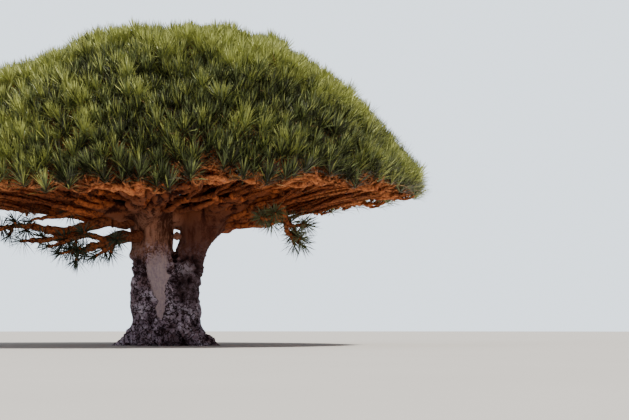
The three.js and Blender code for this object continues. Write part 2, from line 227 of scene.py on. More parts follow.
class Bench:
    """A material under construction: its nodes and its surface."""

    def __init__(self, name: str) -> None:
        """Starts a material with its surface alone.

        Args:
            name: the material's name.
        """
        self.material = bpy.data.materials.new(name)
        self.material.use_nodes = True
        self.tree = self.material.node_tree
        self.surface = self.tree.nodes["Principled BSDF"]

    def add(self, kind: str, settings: dict, inputs: dict, output: str | int = 0) -> Reading:
        """Adds any node.

        Args:
            kind: the node's type.
            settings: its own settings, which are made first.
            inputs: the value or the reading that each socket takes, by name or number.
            output: the socket that is read.

        Returns:
            The reading of that socket.
        """
        node = self.tree.nodes.new(kind)
        for name, value in settings.items():
            setattr(node, name, value)
        for name, value in inputs.items():
            if isinstance(value, Reading):
                self.tree.links.new(value.socket, node.inputs[name])
            else:
                node.inputs[name].default_value = value
        return Reading(self, node.outputs[output])

    def place(self) -> Reading:
        """Reads the piece's own coordinates."""
        return self.add("ShaderNodeTexCoord", {}, {}, "Object")

    def axis(self, place: Reading, name: str) -> Reading:
        """Reads one of the three coordinates."""
        return self.add("ShaderNodeSeparateXYZ", {}, {0: place}, name)

    def stretched(self, place: Reading, scale: tuple) -> Reading:
        """Stretches coordinates along their axes."""
        return self.add("ShaderNodeMapping", {}, {"Vector": place, "Scale": scale})

    def noise(self, place: Reading, scale: float, detail: float = 3.0, rough: float = 0.55) -> Reading:
        """Reads noise as a number from 0 to 1."""
        inputs = {"Vector": place, "Scale": scale, "Detail": detail, "Roughness": rough}
        return self.add("ShaderNodeTexNoise", {}, inputs, "Fac")

    def mix(self, share: Reading | float, one: Reading | tuple, other: Reading | tuple) -> Reading:
        """Mixes two colours.

        Args:
            share: how much of the other colour there is, from 0 to 1.
            one: the first colour.
            other: the other colour.

        Returns:
            The reading of the mixed colour.
        """
        settings = {"data_type": "RGBA", "clamp_factor": True}
        inputs = {0: share, 6: self._colour(one), 7: self._colour(other)}
        return self.add("ShaderNodeMix", settings, inputs, 2)

    @staticmethod
    def _colour(value: Reading | tuple) -> Reading | tuple:
        """Gives a plain colour its fourth number."""
        return value if isinstance(value, Reading) else (*value, 1.0)

    def attribute(self, name: str) -> Reading:
        """Reads a number that the mesh carries."""
        return self.add("ShaderNodeAttribute", {"attribute_name": name}, {}, "Fac")

    def finish(self, inputs: dict, height: Reading | None = None, relief: float = 0.01) -> bpy.types.Material:
        """Sets the surface.

        Args:
            inputs: the value or the reading that each socket of the surface takes.
            height: the bump's height, from 0 to 1.
            relief: how far a height of 1 stands up, in metres.

        Returns:
            The finished material.
        """
        if height is not None:
            bump = self.add("ShaderNodeBump", {}, {"Height": height, "Distance": relief, "Strength": 1.0})
            inputs = {**inputs, "Normal": bump}
        for name, value in inputs.items():
            if isinstance(value, Reading):
                self.tree.links.new(value.socket, self.surface.inputs[name])
            else:
                self.surface.inputs[name].default_value = value
        return self.material


@dataclass(frozen=True)
class BarkPattern:
    """The readings that the trunk's bark is mixed from: its place, its relief and four fields of noise."""

    place: Reading
    across: Reading
    height: Reading
    raised: Reading
    wander: Reading
    grain: Reading
    patches: Reading
    speckle: Reading


@dataclass(frozen=True)
class TrunkBark:
    """Grey cracked bark below, with a smooth pale place, and red-brown fibres above; painted shade darkens
    its hollows and creases, the right stem, and the boughs low down.
    """

    grey: tuple = (0.345, 0.258, 0.325)
    dark: tuple = (0.024, 0.009, 0.011)
    pale: tuple = (0.74, 0.64, 0.76)
    smooth: tuple = (0.56, 0.43, 0.435)
    brown: tuple = (0.155, 0.070, 0.055)
    fibre: tuple = (0.400, 0.185, 0.118)
    fibre_dark: tuple = (0.070, 0.018, 0.006)
    # fork is the boughs' bark low down, darkened as painted shade; limb is their bark higher up.
    fork: tuple = (0.225, 0.064, 0.024)
    limb: tuple = (0.48, 0.112, 0.028)
    limb_dark: tuple = (0.036, 0.006, 0.002)
    # Painted shade for the right stem: darker colours for its fibres and for its lower bark.
    right_stem_shade: tuple = (0.080, 0.018, 0.009)
    low_right_stem_shade: tuple = (0.075, 0.044, 0.047)
    fibres_from: tuple = (1.32, 1.98)
    limbs_from: tuple = (2.02, 2.5)
    bright_from: tuple = (2.5, 3.1)
    right_stem_shaded_from: tuple = (0.08, 0.30)
    low_right_stem_shaded_from: tuple = (0.35, 1.0)
    wander_scale: float = 1.7
    grain_scale: tuple = (38.0, 38.0, 6.0)
    patch_scale: float = 11.0
    speckle_scale: float = 27.0
    crack_scale: float = 9.0
    crack_width: float = 0.0034
    roughness: float = 0.92
    gloss: float = 0.14
    relief: float = 0.05

    def make(self) -> bpy.types.Material:
        """Builds the material.

        Returns:
            The material: old bark, fibres and the boughs' bark follow one another upwards.
        """
        bench = Bench("trunk_bark")
        pattern = self._pattern(bench)
        wander, grain, speckle = pattern.wander, pattern.grain, pattern.speckle
        # Painted shade on the right stem: its bark is mixed towards darker colours from here outwards.
        right_shaded = (pattern.across + wander * 0.3 - 0.15).between(*self.right_stem_shaded_from)
        fibrous = (pattern.height + wander * 0.4 + grain * 0.5 - 0.45).between(*self.fibres_from)
        bough_share = (pattern.height + wander * 0.5 - 0.25).between(*self.limbs_from)
        old = self._old_bark(bench, pattern, right_shaded)
        colour = bench.mix(fibrous, old, self._fibres(bench, pattern, right_shaded))
        colour = bench.mix(bough_share, colour, self._bough_bark(bench, pattern))
        # Painted shade: the hollows and pits that the mesh notes are mixed towards dark.
        colour = bench.mix(bench.attribute("hollow") * (1.5 - speckle), colour, self.dark)
        inputs = {
            "Base Color": colour,
            "Roughness": self.roughness - self.gloss * pattern.patches,
            "Specular IOR Level": BARK_SPECULAR,
        }
        return bench.finish(inputs, grain * 0.4 + speckle * 0.4 + pattern.patches * 0.2, self.relief)

    def _pattern(self, bench: Bench) -> BarkPattern:
        """Sets out the readings that all three barks are mixed from.

        Args:
            bench: the material under construction.

        Returns:
            The readings.
        """
        place = bench.place()
        return BarkPattern(
            place=place,
            across=bench.axis(place, "X"),
            height=bench.axis(place, "Z"),
            raised=bench.attribute("raised"),
            wander=bench.noise(place, self.wander_scale),
            grain=bench.noise(bench.stretched(place, self.grain_scale), 1.0, 5.0, 0.68),
            patches=bench.noise(place, self.patch_scale, 5.0, 0.66),
            speckle=bench.noise(place, self.speckle_scale, 5.0, 0.72),
        )

    def _old_bark(self, bench: Bench, pattern: BarkPattern, right_shaded: Reading) -> Reading:
        """Mixes the bark of the trunk's lower half.

        Args:
            bench: the material under construction.
            pattern: the readings that the bark is mixed from.
            right_shaded: how much painted shade falls on the right stem.

        Returns:
            The reading of its colour.
        """
        speckle, patches, raised = pattern.speckle, pattern.patches, pattern.raised
        # Partly painted shade and light: over its own speckle and patches, the bark is darker in the creases
        # and paler on the ridges that the raised attribute marks.
        ridges = patches * 0.25 + speckle * 0.5 + raised * 0.25
        colour = bench.mix(ridges.between(0.37, 0.53), self.dark, self.grey)
        colour = bench.mix((speckle * 0.65 + raised * 0.35).between(0.53, 0.68), colour, self.pale)
        browned = (pattern.wander * 0.6 + patches * 0.4).between(0.5, 0.62) * 0.5
        colour = bench.mix(browned, colour, self.brown)
        crack = bench.noise(pattern.place, self.crack_scale, 3.0, 0.6) - 0.5
        colour = bench.mix((crack * crack).between(0.0, self.crack_width), self.dark, colour)
        smooth = bench.mix((speckle * 0.5 + pattern.grain * 0.5).between(0.36, 0.58), self.grey, self.smooth)
        bare = bench.attribute("smooth") + speckle * 1.1 + patches * 0.8 - 0.95
        colour = bench.mix(bare.between(0.3, 0.7), colour, smooth)
        # Painted shade on the right stem's lower bark, from a little way up.
        right_shade_above = (pattern.height + patches * 0.8 - 0.4).between(*self.low_right_stem_shaded_from)
        return bench.mix(right_shaded * right_shade_above * 0.6, colour, self.low_right_stem_shade)

    def _fibres(self, bench: Bench, pattern: BarkPattern, right_shaded: Reading) -> Reading:
        """Mixes the fibres of the trunk's upper half.

        Args:
            bench: the material under construction.
            pattern: the readings that the bark is mixed from.
            right_shaded: how much painted shade falls on the right stem.

        Returns:
            The reading of their colour.
        """
        # Partly painted shade: the fibres are darker in the creases that the raised attribute marks.
        strands = pattern.grain * 0.55 + pattern.speckle * 0.25 + pattern.raised * 0.2
        colour = bench.mix(strands.between(0.38, 0.60), self.fibre_dark, self.fibre)
        # Painted shade on the right stem's fibres.
        return bench.mix(right_shaded * 0.8, colour, self.right_stem_shade)

    def _bough_bark(self, bench: Bench, pattern: BarkPattern) -> Reading:
        """Mixes the bark of the main boughs, with painted shade that darkens it low down, at the fork.

        Args:
            bench: the material under construction.
            pattern: the readings that the bark is mixed from.

        Returns:
            The reading of its colour.
        """
        # Partly painted shade and light: the boughs' bark is darker in creases and brighter on ridges.
        lit = (pattern.grain * 0.4 + pattern.speckle * 0.25 + pattern.raised * 0.35).between(0.36, 0.60)
        # Painted shade: the boughs' bark is darker low down, at the fork, than higher up.
        bright = bench.mix(pattern.height.between(*self.bright_from), self.fork, self.limb)
        return bench.mix(lit, self.limb_dark, bright)


@dataclass(frozen=True)
class LimbBark:
    """Orange-brown bark with dark seams and rings, for the limbs and the twigs."""

    name: str
    bright: tuple
    dark: tuple
    fine: float
    low_shade: float = 0.8
    bright_from: tuple = (2.45, 3.0)
    relief: float = 0.025
    root: tuple = (0.205, 0.060, 0.024)
    root_within: tuple = (0.35, 2.4)
    blotch_scale: float = 3.1
    roughness: float = 0.88
    gloss: float = 0.1

    def make(self) -> bpy.types.Material:
        """Builds the material.

        Returns:
            The material, which is darkest near the trunk, and darker low down than high up as painted shade.
        """
        bench = Bench(self.name)
        place = bench.place()
        blotches = bench.noise(place, self.blotch_scale, 3.0)
        rings = bench.noise(place, self.fine, 4.0, 0.62)
        across, along = bench.axis(place, "X"), bench.axis(place, "Y")
        # Painted shade: below bright_from the bark is darkened by low_shade.
        low = tuple(part * self.low_shade for part in self.bright)
        bright = bench.mix(bench.axis(place, "Z").between(*self.bright_from), low, self.bright)
        away = across * across + along * along
        bright = bench.mix(away.between(*self.root_within), self.root, bright)
        colour = bench.mix((rings * 0.7 + blotches * 0.3).between(0.38, 0.58), self.dark, bright)
        inputs = {
            "Base Color": colour,
            "Roughness": self.roughness - self.gloss * blotches,
            "Specular IOR Level": BARK_SPECULAR,
        }
        return bench.finish(inputs, rings, self.relief)


class Bark(Enum):
    """The barks that the limbs and twigs wear: dark and red inside the crown as painted shade, and bright
    towards its rim as painted light, where the bark is also younger.
    """

    INNER_LIMB = LimbBark("inner_limb_bark", (0.58, 0.150, 0.042), (0.070, 0.013, 0.004), 14.0)
    INNER_TWIG = LimbBark("inner_twig_bark", (0.34, 0.090, 0.027), (0.050, 0.010, 0.003), 24.0)
    OUTER_LIMB = LimbBark("outer_limb_bark", (0.68, 0.230, 0.078), (0.150, 0.030, 0.009), 18.0)
    OUTER_TWIG = LimbBark("outer_twig_bark", (0.50, 0.170, 0.058), (0.090, 0.020, 0.006), 26.0)
    HANGING = LimbBark("hanging_bark", (0.42, 0.125, 0.040), (0.055, 0.011, 0.004), 22.0, 1.0)


@dataclass(frozen=True)
class LeafSkin:
    """The tough, slightly waxy skin of the leaves of one tint."""

    name: str
    colour: tuple
    share: float
    sheen: float = 0.42
    dulling: float = 0.16
    mottle_scale: float = 9.0
    shade: float = 0.62
    light: float = 1.3

    def make(self) -> bpy.types.Material:
        """Builds the material.

        Returns:
            The material, which is lightly mottled.
        """
        bench = Bench(self.name)
        mottle = bench.noise(bench.place(), self.mottle_scale, 3.0)
        shaded = tuple(part * self.shade for part in self.colour)
        bright = tuple(min(part * self.light, 1.0) for part in self.colour)
        colour = bench.mix(mottle.between(0.3, 0.7), shaded, bright)
        return bench.finish({"Base Color": colour, "Roughness": self.sheen + self.dulling * mottle})


class Tint(Enum):
    """The tints that the leaves are dealt, from the darkest to the brightest, and the withered one; the
    ladder of the first four also paints light and shade over the dome.
    """

    DEEP = LeafSkin("leaves_deep_green", (0.022, 0.024, 0.006), 0.25)
    BLUE = LeafSkin("leaves_blue_green", (0.150, 0.180, 0.060), 0.24)
    OLIVE = LeafSkin("leaves_olive", (0.320, 0.340, 0.080), 0.28)
    YELLOW = LeafSkin("leaves_yellow_green", (0.390, 0.420, 0.115), 0.22)
    DRY = LeafSkin("leaves_dry", (0.270, 0.150, 0.055), 0.14)


SHADED = LeafSkin("leaves_shaded", (0.036, 0.052, 0.026), 1.0)
HALF_SHADED = LeafSkin("leaves_half_shaded", (0.120, 0.135, 0.055), 1.0)
LADDER = (Tint.DEEP, Tint.BLUE, Tint.OLIVE, Tint.YELLOW)


# The crown's outline and the cells that its masses keep to


@dataclass(frozen=True)
class Compass:
    """A size of the crown, measured on its four sides."""

    right: float
    back: float
    left: float
    front: float

    def at(self, azimuth: np.ndarray) -> np.ndarray:
        """Gives the size at an azimuth.

        Args:
            azimuth: the directions, from +X towards +Y.

        Returns:
            One size for each direction.
        """
        east, north = np.cos(azimuth), np.sin(azimuth)
        across = np.where(east > 0, self.right, self.left)
        along = np.where(north > 0, self.back, self.front)
        return east**2 * across + north**2 * along


@dataclass(frozen=True)
class Dome:
    """The outline that the leaves' tips reach: wide, low and a little wavy at its rim."""

    apex_height: float = 5.7
    apex_shift: float = 0.6
    radius: Compass = Compass(right=4.77, back=4.62, left=5.45, front=4.56)
    rim: Compass = Compass(right=2.93, back=2.8, left=2.85, front=2.56)
    power: Compass = Compass(right=2.15, back=3.0, left=2.4, front=3.0)
    lift_height: float = 0.2
    lift_azimuth: float = -1.05
    lift_width: float = 0.4
    lobe_height: float = 0.13
    lobe_waves: int = 6
    lobe_rings: float = 18.0
    lobe_twist: float = 3.0
    lobe_phase: float = -0.25
    lobe_full_from: float = 0.4
    hummock: float = 0.06
    hummocks_round: tuple = (23.0, 5.0)
    hummocks_inward: tuple = (9.0, 41.0)
    rim_wave: float = 0.08
    rim_waves: int = 16
    rim_drift: float = 0.4
    rim_drifts: float = 5.0
    rim_from: float = 0.8
    low_at: float = -1.63

    def rim_at(self, azimuth: np.ndarray) -> np.ndarray:
        """Gives the height of the rim, which is lifted on the near right."""
        turn = (azimuth - self.lift_azimuth + math.pi) % TURN - math.pi
        return self.rim.at(azimuth) + self.lift_height * np.exp(-((turn / self.lift_width) ** 2))

    def share_at(self, points: np.ndarray) -> np.ndarray:
        """Gives how far points lie from the trunk's line, as a share of the way to the rim."""
        azimuth = np.arctan2(points[:, 1], points[:, 0])
        return np.hypot(points[:, 0], points[:, 1]) / self.radius.at(azimuth)

    def outline(self, azimuth: np.ndarray, share: np.ndarray) -> np.ndarray:
        """Gives the points of the outline.

        Args:
            azimuth: the directions, from +X towards +Y.
            share: how far from the axis the points are, as a share of the way to the rim.

        Returns:
            One row for each point.
        """
        radius = self.radius.at(azimuth) * share
        rim = self.rim_at(azimuth)
        height = rim + (self.apex_height - rim) * (1.0 - share ** self.power.at(azimuth))
        shift = self.apex_shift * (1.0 - share)
        return np.stack((np.cos(azimuth) * radius + shift, np.sin(azimuth) * radius, height), axis=-1)

    def outward(self, azimuth: np.ndarray, share: np.ndarray) -> np.ndarray:
        """Gives the directions in which the outline faces.

        Args:
            azimuth: the directions of the points, from +X towards +Y.
            share: how far from the axis they are, as a share of the way to the rim.

        Returns:
            One row for each point.
        """
        step = 0.01
        inner = np.maximum(share, 2.0 * step)
        slope = self.outline(azimuth, inner + step) - self.outline(azimuth, inner - step)
        sideways = np.stack((-np.sin(azimuth), np.cos(azimuth), np.zeros_like(azimuth)), axis=-1)
        return unit(np.cross(slope, sideways))

    def swell(self, azimuth: np.ndarray, share: np.ndarray) -> np.ndarray:
        """Gives how far the crown's lobes and their hummocks stand out of the outline.

        Args:
            azimuth: the directions of the points, from +X towards +Y.
            share: how far from the axis they are, as a share of the way to the rim.

        Returns:
            One number for each point.
        """
        fade = np.minimum(share / self.lobe_full_from, 1.0) * (1.0 - share**4)
        ripple = np.sin(self.lobe_rings * share + self.lobe_twist * azimuth + self.lobe_phase)
        lobes = self.lobe_height * fade * np.cos(self.lobe_waves * azimuth) * ripple
        rounds, inward = self.hummocks_round, self.hummocks_inward
        hummocks = self.hummock * np.sin(rounds[0] * azimuth + inward[0] * share)
        return lobes + hummocks * np.sin(inward[1] * share + rounds[1] * azimuth)

    def sag(self, azimuth: np.ndarray, share: np.ndarray) -> np.ndarray:
        """Gives how far the wavy rim hangs below the outline.

        Args:
            azimuth: the directions of the points, from +X towards +Y.
            share: how far from the axis they are, as a share of the way to the rim.

        Returns:
            One number for each point.
        """
        wave = np.cos(self.rim_waves * (azimuth - self.low_at))
        drift = self.rim_drift * np.sin(self.rim_drifts * azimuth)
        return self.rim_wave * (wave + drift) * smooth_step(self.rim_from, 1.0, share)


@dataclass(frozen=True)
class Ring:
    """One ring of the crown's cells."""

    name: str
    cells: int
    inner: float
    outer: float
    offset: float

    def azimuth(self, index: int) -> float:
        """Gives the azimuth of a cell's middle."""
        return (index + self.offset) * TURN / self.cells

    def node(self, index: int) -> str:
        """Gives the name of a cell's node."""
        return f"foliage_{self.name}_{index + 1:02d}"

    def index_at(self, azimuth: np.ndarray) -> np.ndarray:
        """Gives the number of the cell that an azimuth falls in."""
        return np.floor(azimuth / TURN * self.cells - self.offset + 0.5).astype(int) % self.cells


OUTER = Ring("outer", 14, 0.705, 1.0, 0.1)
MID = Ring("mid", 7, 0.36, 0.705, 0.3)
TOP = Ring("top", 3, 0.0, 0.36, 0.75)


@dataclass(frozen=True)
class Curve:
    """A smooth line through space, as Hermite arcs between its knots."""

    knots: np.ndarray
    slopes: np.ndarray

    @staticmethod
    def bezier(start: np.ndarray, bend: np.ndarray, end: np.ndarray) -> "Curve":
        """Makes the curve of one bend that three points give."""
        return Curve(np.stack((start, end)), np.stack((2.0 * (bend - start), 2.0 * (end - bend))))

    @staticmethod
    def through(points: Sequence[Sequence[float]]) -> "Curve":
        """Makes a smooth curve through points."""
        knots = np.array(points, float)
        return Curve(knots, np.gradient(knots, axis=0))

    def at(self, share: float) -> np.ndarray:
        """Gives the point at a share of the curve."""
        return self._read(share, arc_weights)

    def heading(self, share: float) -> np.ndarray:
        """Gives the direction of the curve at a share of it."""
        return unit(self._read(share, heading_weights))

    def arcs(self) -> list:
        """Gives each arc as its two ends, each with its slope."""
        ends = list(zip(self.knots, self.slopes))
        return [(*one, *other) for one, other in zip(ends[:-1], ends[1:])]

    def _read(self, share: float, weigh: Callable) -> np.ndarray:
        """Adds up the knots and slopes of one arc by their weights.

        Args:
            share: the share of the whole curve to read at.
            weigh: gives the four weights at a share of an arc.

        Returns:
            The sum.
        """
        arcs = len(self.knots) - 1
        arc = min(int(share * arcs), arcs - 1)
        parts = (self.knots[arc], self.slopes[arc], self.knots[arc + 1], self.slopes[arc + 1])
        return sum(part * weight for part, weight in zip(parts, weigh(share * arcs - arc)))


@dataclass(frozen=True)
class Limb:
    """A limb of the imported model: its node's name, its curve, its radii at both ends and its knuckle."""

    node: str
    curve: Curve
    radii: tuple
    foot: np.ndarray


@dataclass
class Framework:
    """The trunk and the main boughs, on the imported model's own lines."""

    dome: Dome
    left_knuckle: tuple = (-0.345, 0.0, 2.3)
    right_knuckle: tuple = (0.69, 0.095, 2.24)
    right_boughs: tuple = (0, 1, 6)
    right_top: int = 2
    bough_radii: tuple = (0.205, 0.125)
    side_radii: tuple = (0.125, 0.096)
    top_radii: tuple = (0.15, 0.096)
    low_radii: tuple = (0.092, 0.05)
    bough_reach: float = 0.6
    bough_above_rim: float = 0.01
    bough_bend: float = 0.22
    side_leaves_at: float = 0.42
    side_above_rim: float = 0.04
    side_bend: float = 0.09
    rise_leaves_at: float = 0.3
    rise_end: tuple = (0.31, 3.78)
    rise_bend: tuple = (0.45, -0.12)
    top_end: tuple = (0.1, 4.15)
    top_bend: tuple = (0.5, -0.06)
    left_far: tuple = ((-0.33, -0.06, 2.2), (-1.0, -0.26, 2.215), (-1.75, -0.33, 2.03), (-2.15, -0.33, 2.06))
    left_near: tuple = ((-0.3, -0.12, 1.96), (-0.78, -0.43, 1.99), (-1.12, -0.56, 1.8))
    right_leaves_at: float = 0.55
    right_drop: tuple = ((2.02, -0.9, 2.33), (2.09, -0.8, 2.02))
    limbs: dict = field(default_factory=dict)

    def grow(self) -> None:
        """Lays out every limb, by the node of the mass that it carries."""
        left, right = np.array(self.left_knuckle), np.array(self.right_knuckle)
        for index in range(MID.cells):
            self._grow_bough(index, right if index in self.right_boughs else left)
        for index in range(TOP.cells):
            start = right if index == self.right_top else left
            end = self._crown_point(TOP.azimuth(index), *self.top_end)
            top = self._bent(start, end, *self.top_bend)
            self._add(TOP.node(index), f"bough_top_{index + 1}", top, self.top_radii, start)
        far = Curve.through(self.left_far)
        near = Curve.bezier(*np.array(self.left_near))
        hook = self.limbs[OUTER.node(OUTER.cells - 1)].curve.at(self.right_leaves_at)
        drop = Curve.bezier(hook, *np.array(self.right_drop))
        self._add("low_foliage_left_far", "low_bough_left_far", far, self.low_radii, left)
        self._add("low_foliage_left_near", "low_bough_left_near", near, self.low_radii, left)
        self._add("low_foliage_right", "low_bough_right", drop, self.low_radii, right)

    def stout(self) -> list:
        """Gives the limbs that carry the dome."""
        return [limb for limb in self.limbs.values() if not limb.node.startswith("low_")]

    def _add(self, mass: str, node: str, curve: Curve, radii: tuple, foot: np.ndarray) -> None:
        """Keeps one limb under the name of the mass that it carries."""
        self.limbs[mass] = Limb(node, curve, radii, foot)

    def _grow_bough(self, index: int, start: np.ndarray) -> None:
        """Lays out one main bough, with the side bough and the rising bough that leave it.

        Args:
            index: the bough's number.
            start: the middle of the knuckle that it springs from.
        """
        name = f"bough_{index + 1:02d}"
        own, beside = 2 * index, 2 * index + 1
        bough = self._bough(start, OUTER.azimuth(own))
        self._add(OUTER.node(own), name, bough, self.bough_radii, start)
        side = self._side(bough.at(self.side_leaves_at), OUTER.azimuth(beside))
        self._add(OUTER.node(beside), f"{name}_side", side, self.side_radii, start)
        end = self._crown_point(MID.azimuth(index), *self.rise_end)
        rise = self._bent(bough.at(self.rise_leaves_at), end, *self.rise_bend)
        self._add(MID.node(index), f"{name}_rise", rise, self.side_radii, start)

    def _crown_point(self, azimuth: float, share: float, height: float) -> np.ndarray:
        """Gives the point of the crown at a share of its radius and a height."""
        radius = float(self.dome.radius.at(np.array(azimuth))) * share
        return np.array((math.cos(azimuth) * radius, math.sin(azimuth) * radius, height))

    @staticmethod
    def _bent(start: np.ndarray, end: np.ndarray, share: float, rise: float) -> Curve:
        """Makes a curve with its bend raised at a share of its way."""
        return Curve.bezier(start, blend(start, end, share) + UP * rise, end)

    def _bough(self, start: np.ndarray, azimuth: float) -> Curve:
        """Makes a bough, which rises fast and then levels out.

        Args:
            start: where it leaves the trunk.
            azimuth: the direction that it grows in.

        Returns:
            Its curve.
        """
        rim = float(self.dome.rim_at(np.array(azimuth)))
        end = self._crown_point(azimuth, self.bough_reach, rim + self.bough_above_rim)
        return self._bent(start, end, 0.5, self.bough_bend * (end[2] - start[2]))

    def _side(self, start: np.ndarray, azimuth: float) -> Curve:
        """Makes the limb that leaves a bough for the cell beside it.

        Args:
            start: where it leaves the bough.
            azimuth: the direction of its cell.

        Returns:
            Its curve.
        """
        rim = float(self.dome.rim_at(np.array(azimuth)))
        end = self._crown_point(azimuth, self.bough_reach, rim + self.side_above_rim)
        return self._bent(start, end, 0.5, self.side_bend)


# The trunk and the main boughs as one body with its bark's relief


@dataclass(frozen=True)
class Texture:
    """A layered field of lumps: how many there are to a metre on each axis, its layers and its seed."""

    scale: tuple
    layers: int
    seed: int

    def at(self, points: np.ndarray) -> np.ndarray:
        """Reads the field at points."""
        return layered_noise(points * np.array(self.scale), self.layers, self.seed)


@dataclass(frozen=True)
class Crease:
    """Creases where a field of lumps crosses zero: their depth, and their width in the field."""

    lumps: Texture
    depth: float
    width: float

    def at(self, points: np.ndarray) -> np.ndarray:
        """Gives how deep the creases are at points."""
        return self.depth * np.exp(-((self.lumps.at(points) / self.width) ** 2))


@dataclass(frozen=True)
class BarkRelief:
    """How far the bark stands out: knobbly low on the trunk, fibrous above, and ropy on the boughs."""

    lumps: Texture = Texture((4.4, 4.4, 3.4), 5, 3)
    lump_height: float = 0.062
    pits: Texture = Texture((7.5, 7.5, 7.5), 2, 11)
    pits_from: float = 0.22
    pit_depth: float = 0.11
    plates: Crease = Crease(Texture((4.6, 4.6, 3.2), 3, 14), 0.034, 0.07)
    small_plates: Crease = Crease(Texture((11.0, 11.0, 11.0), 2, 17), 0.022, 0.14)
    plate_height: float = 0.018
    fibres: Texture = Texture((16.0, 16.0, 3.0), 3, 5)
    fibre_height: float = 0.020
    folds: Texture = Texture((5.5, 5.5, 1.1), 1, 6)
    fold_height: float = 0.026
    knobs: Texture = Texture((7.0, 7.0, 7.0), 3, 8)
    knob_height: float = 0.034
    seams: Crease = Crease(Texture((15.0, 9.0, 1.2), 2, 9), 0.055, 0.15)
    strand_height: float = 0.015

    def knobbly(self, points: np.ndarray) -> np.ndarray:
        """Gives the relief of the old bark: lumps, pits and the creases between its plates.

        Args:
            points: the places to read, one row each.

        Returns:
            One height for each point.
        """
        pits = np.maximum(self.pits.at(points) - self.pits_from, 0.0)
        creases = self.plates.at(points) + self.small_plates.at(points)
        lumps = self.lump_height * self.lumps.at(points)
        return lumps - self.pit_depth * pits - creases + self.plate_height

    def fibrous(self, points: np.ndarray) -> np.ndarray:
        """Gives the relief of the younger bark: fibres and grooves along the stem."""
        return self.fibre_height * self.fibres.at(points) + self.fold_height * self.folds.at(points)

    def ropy(self, points: np.ndarray) -> np.ndarray:
        """Gives the relief of the boughs: knobs, and seams that run outwards between their strands.

        Args:
            points: the places to read, one row each.

        Returns:
            One height for each point.
        """
        azimuth = np.arctan2(points[:, 1], points[:, 0])
        seams = self.seams.at(np.stack((azimuth, points[:, 2], points[:, 0]), axis=1))
        return self.knob_height * self.knobs.at(points) + self.strand_height - seams


@dataclass(frozen=True)
class SmoothPlace:
    """The smooth, pale place on the left stem's near side, which narrows downwards."""

    across: float = -0.14
    height: float = 1.15
    half_height: float = 0.62
    foot_half_width: float = 0.10
    widening: float = 0.11
    widens_from: tuple = (0.7, 1.5)
    edge: tuple = (0.7, 1.15)
    wander: Texture = Texture((5.0, 5.0, 5.0), 2, 21)
    wandering: float = 0.35
    behind: float = 2.0

    def share(self, points: np.ndarray) -> np.ndarray:
        """Gives the share of smooth bark.

        Args:
            points: the places to read, one row each.

        Returns:
            One share for each point, which is none on the far side.
        """
        half_width = self.foot_half_width + self.widening * smooth_step(*self.widens_from, points[:, 2])
        across = (points[:, 0] - self.across) / half_width
        along = (points[:, 2] - self.height) / self.half_height
        away = np.hypot(across, along) + self.wandering * self.wander.at(points)
        return 1.0 - smooth_step(*self.edge, away + self.behind * (points[:, 1] > 0))


@dataclass(frozen=True)
class Mark:
    """A hollow or a knob on the trunk: its place, its radius, how far it stands out, and its side.

    The side is -1 on the near side and 1 on the far side.
    """

    across: float
    height: float
    radius: float
    rise: float
    side: float = -1.0

    def share(self, points: np.ndarray) -> np.ndarray:
        """Gives how much of the mark falls on each point."""
        away = np.hypot(points[:, 0] - self.across, points[:, 2] - self.height)
        return np.exp(-((away / self.radius) ** 2)) * (points[:, 1] * self.side > 0)


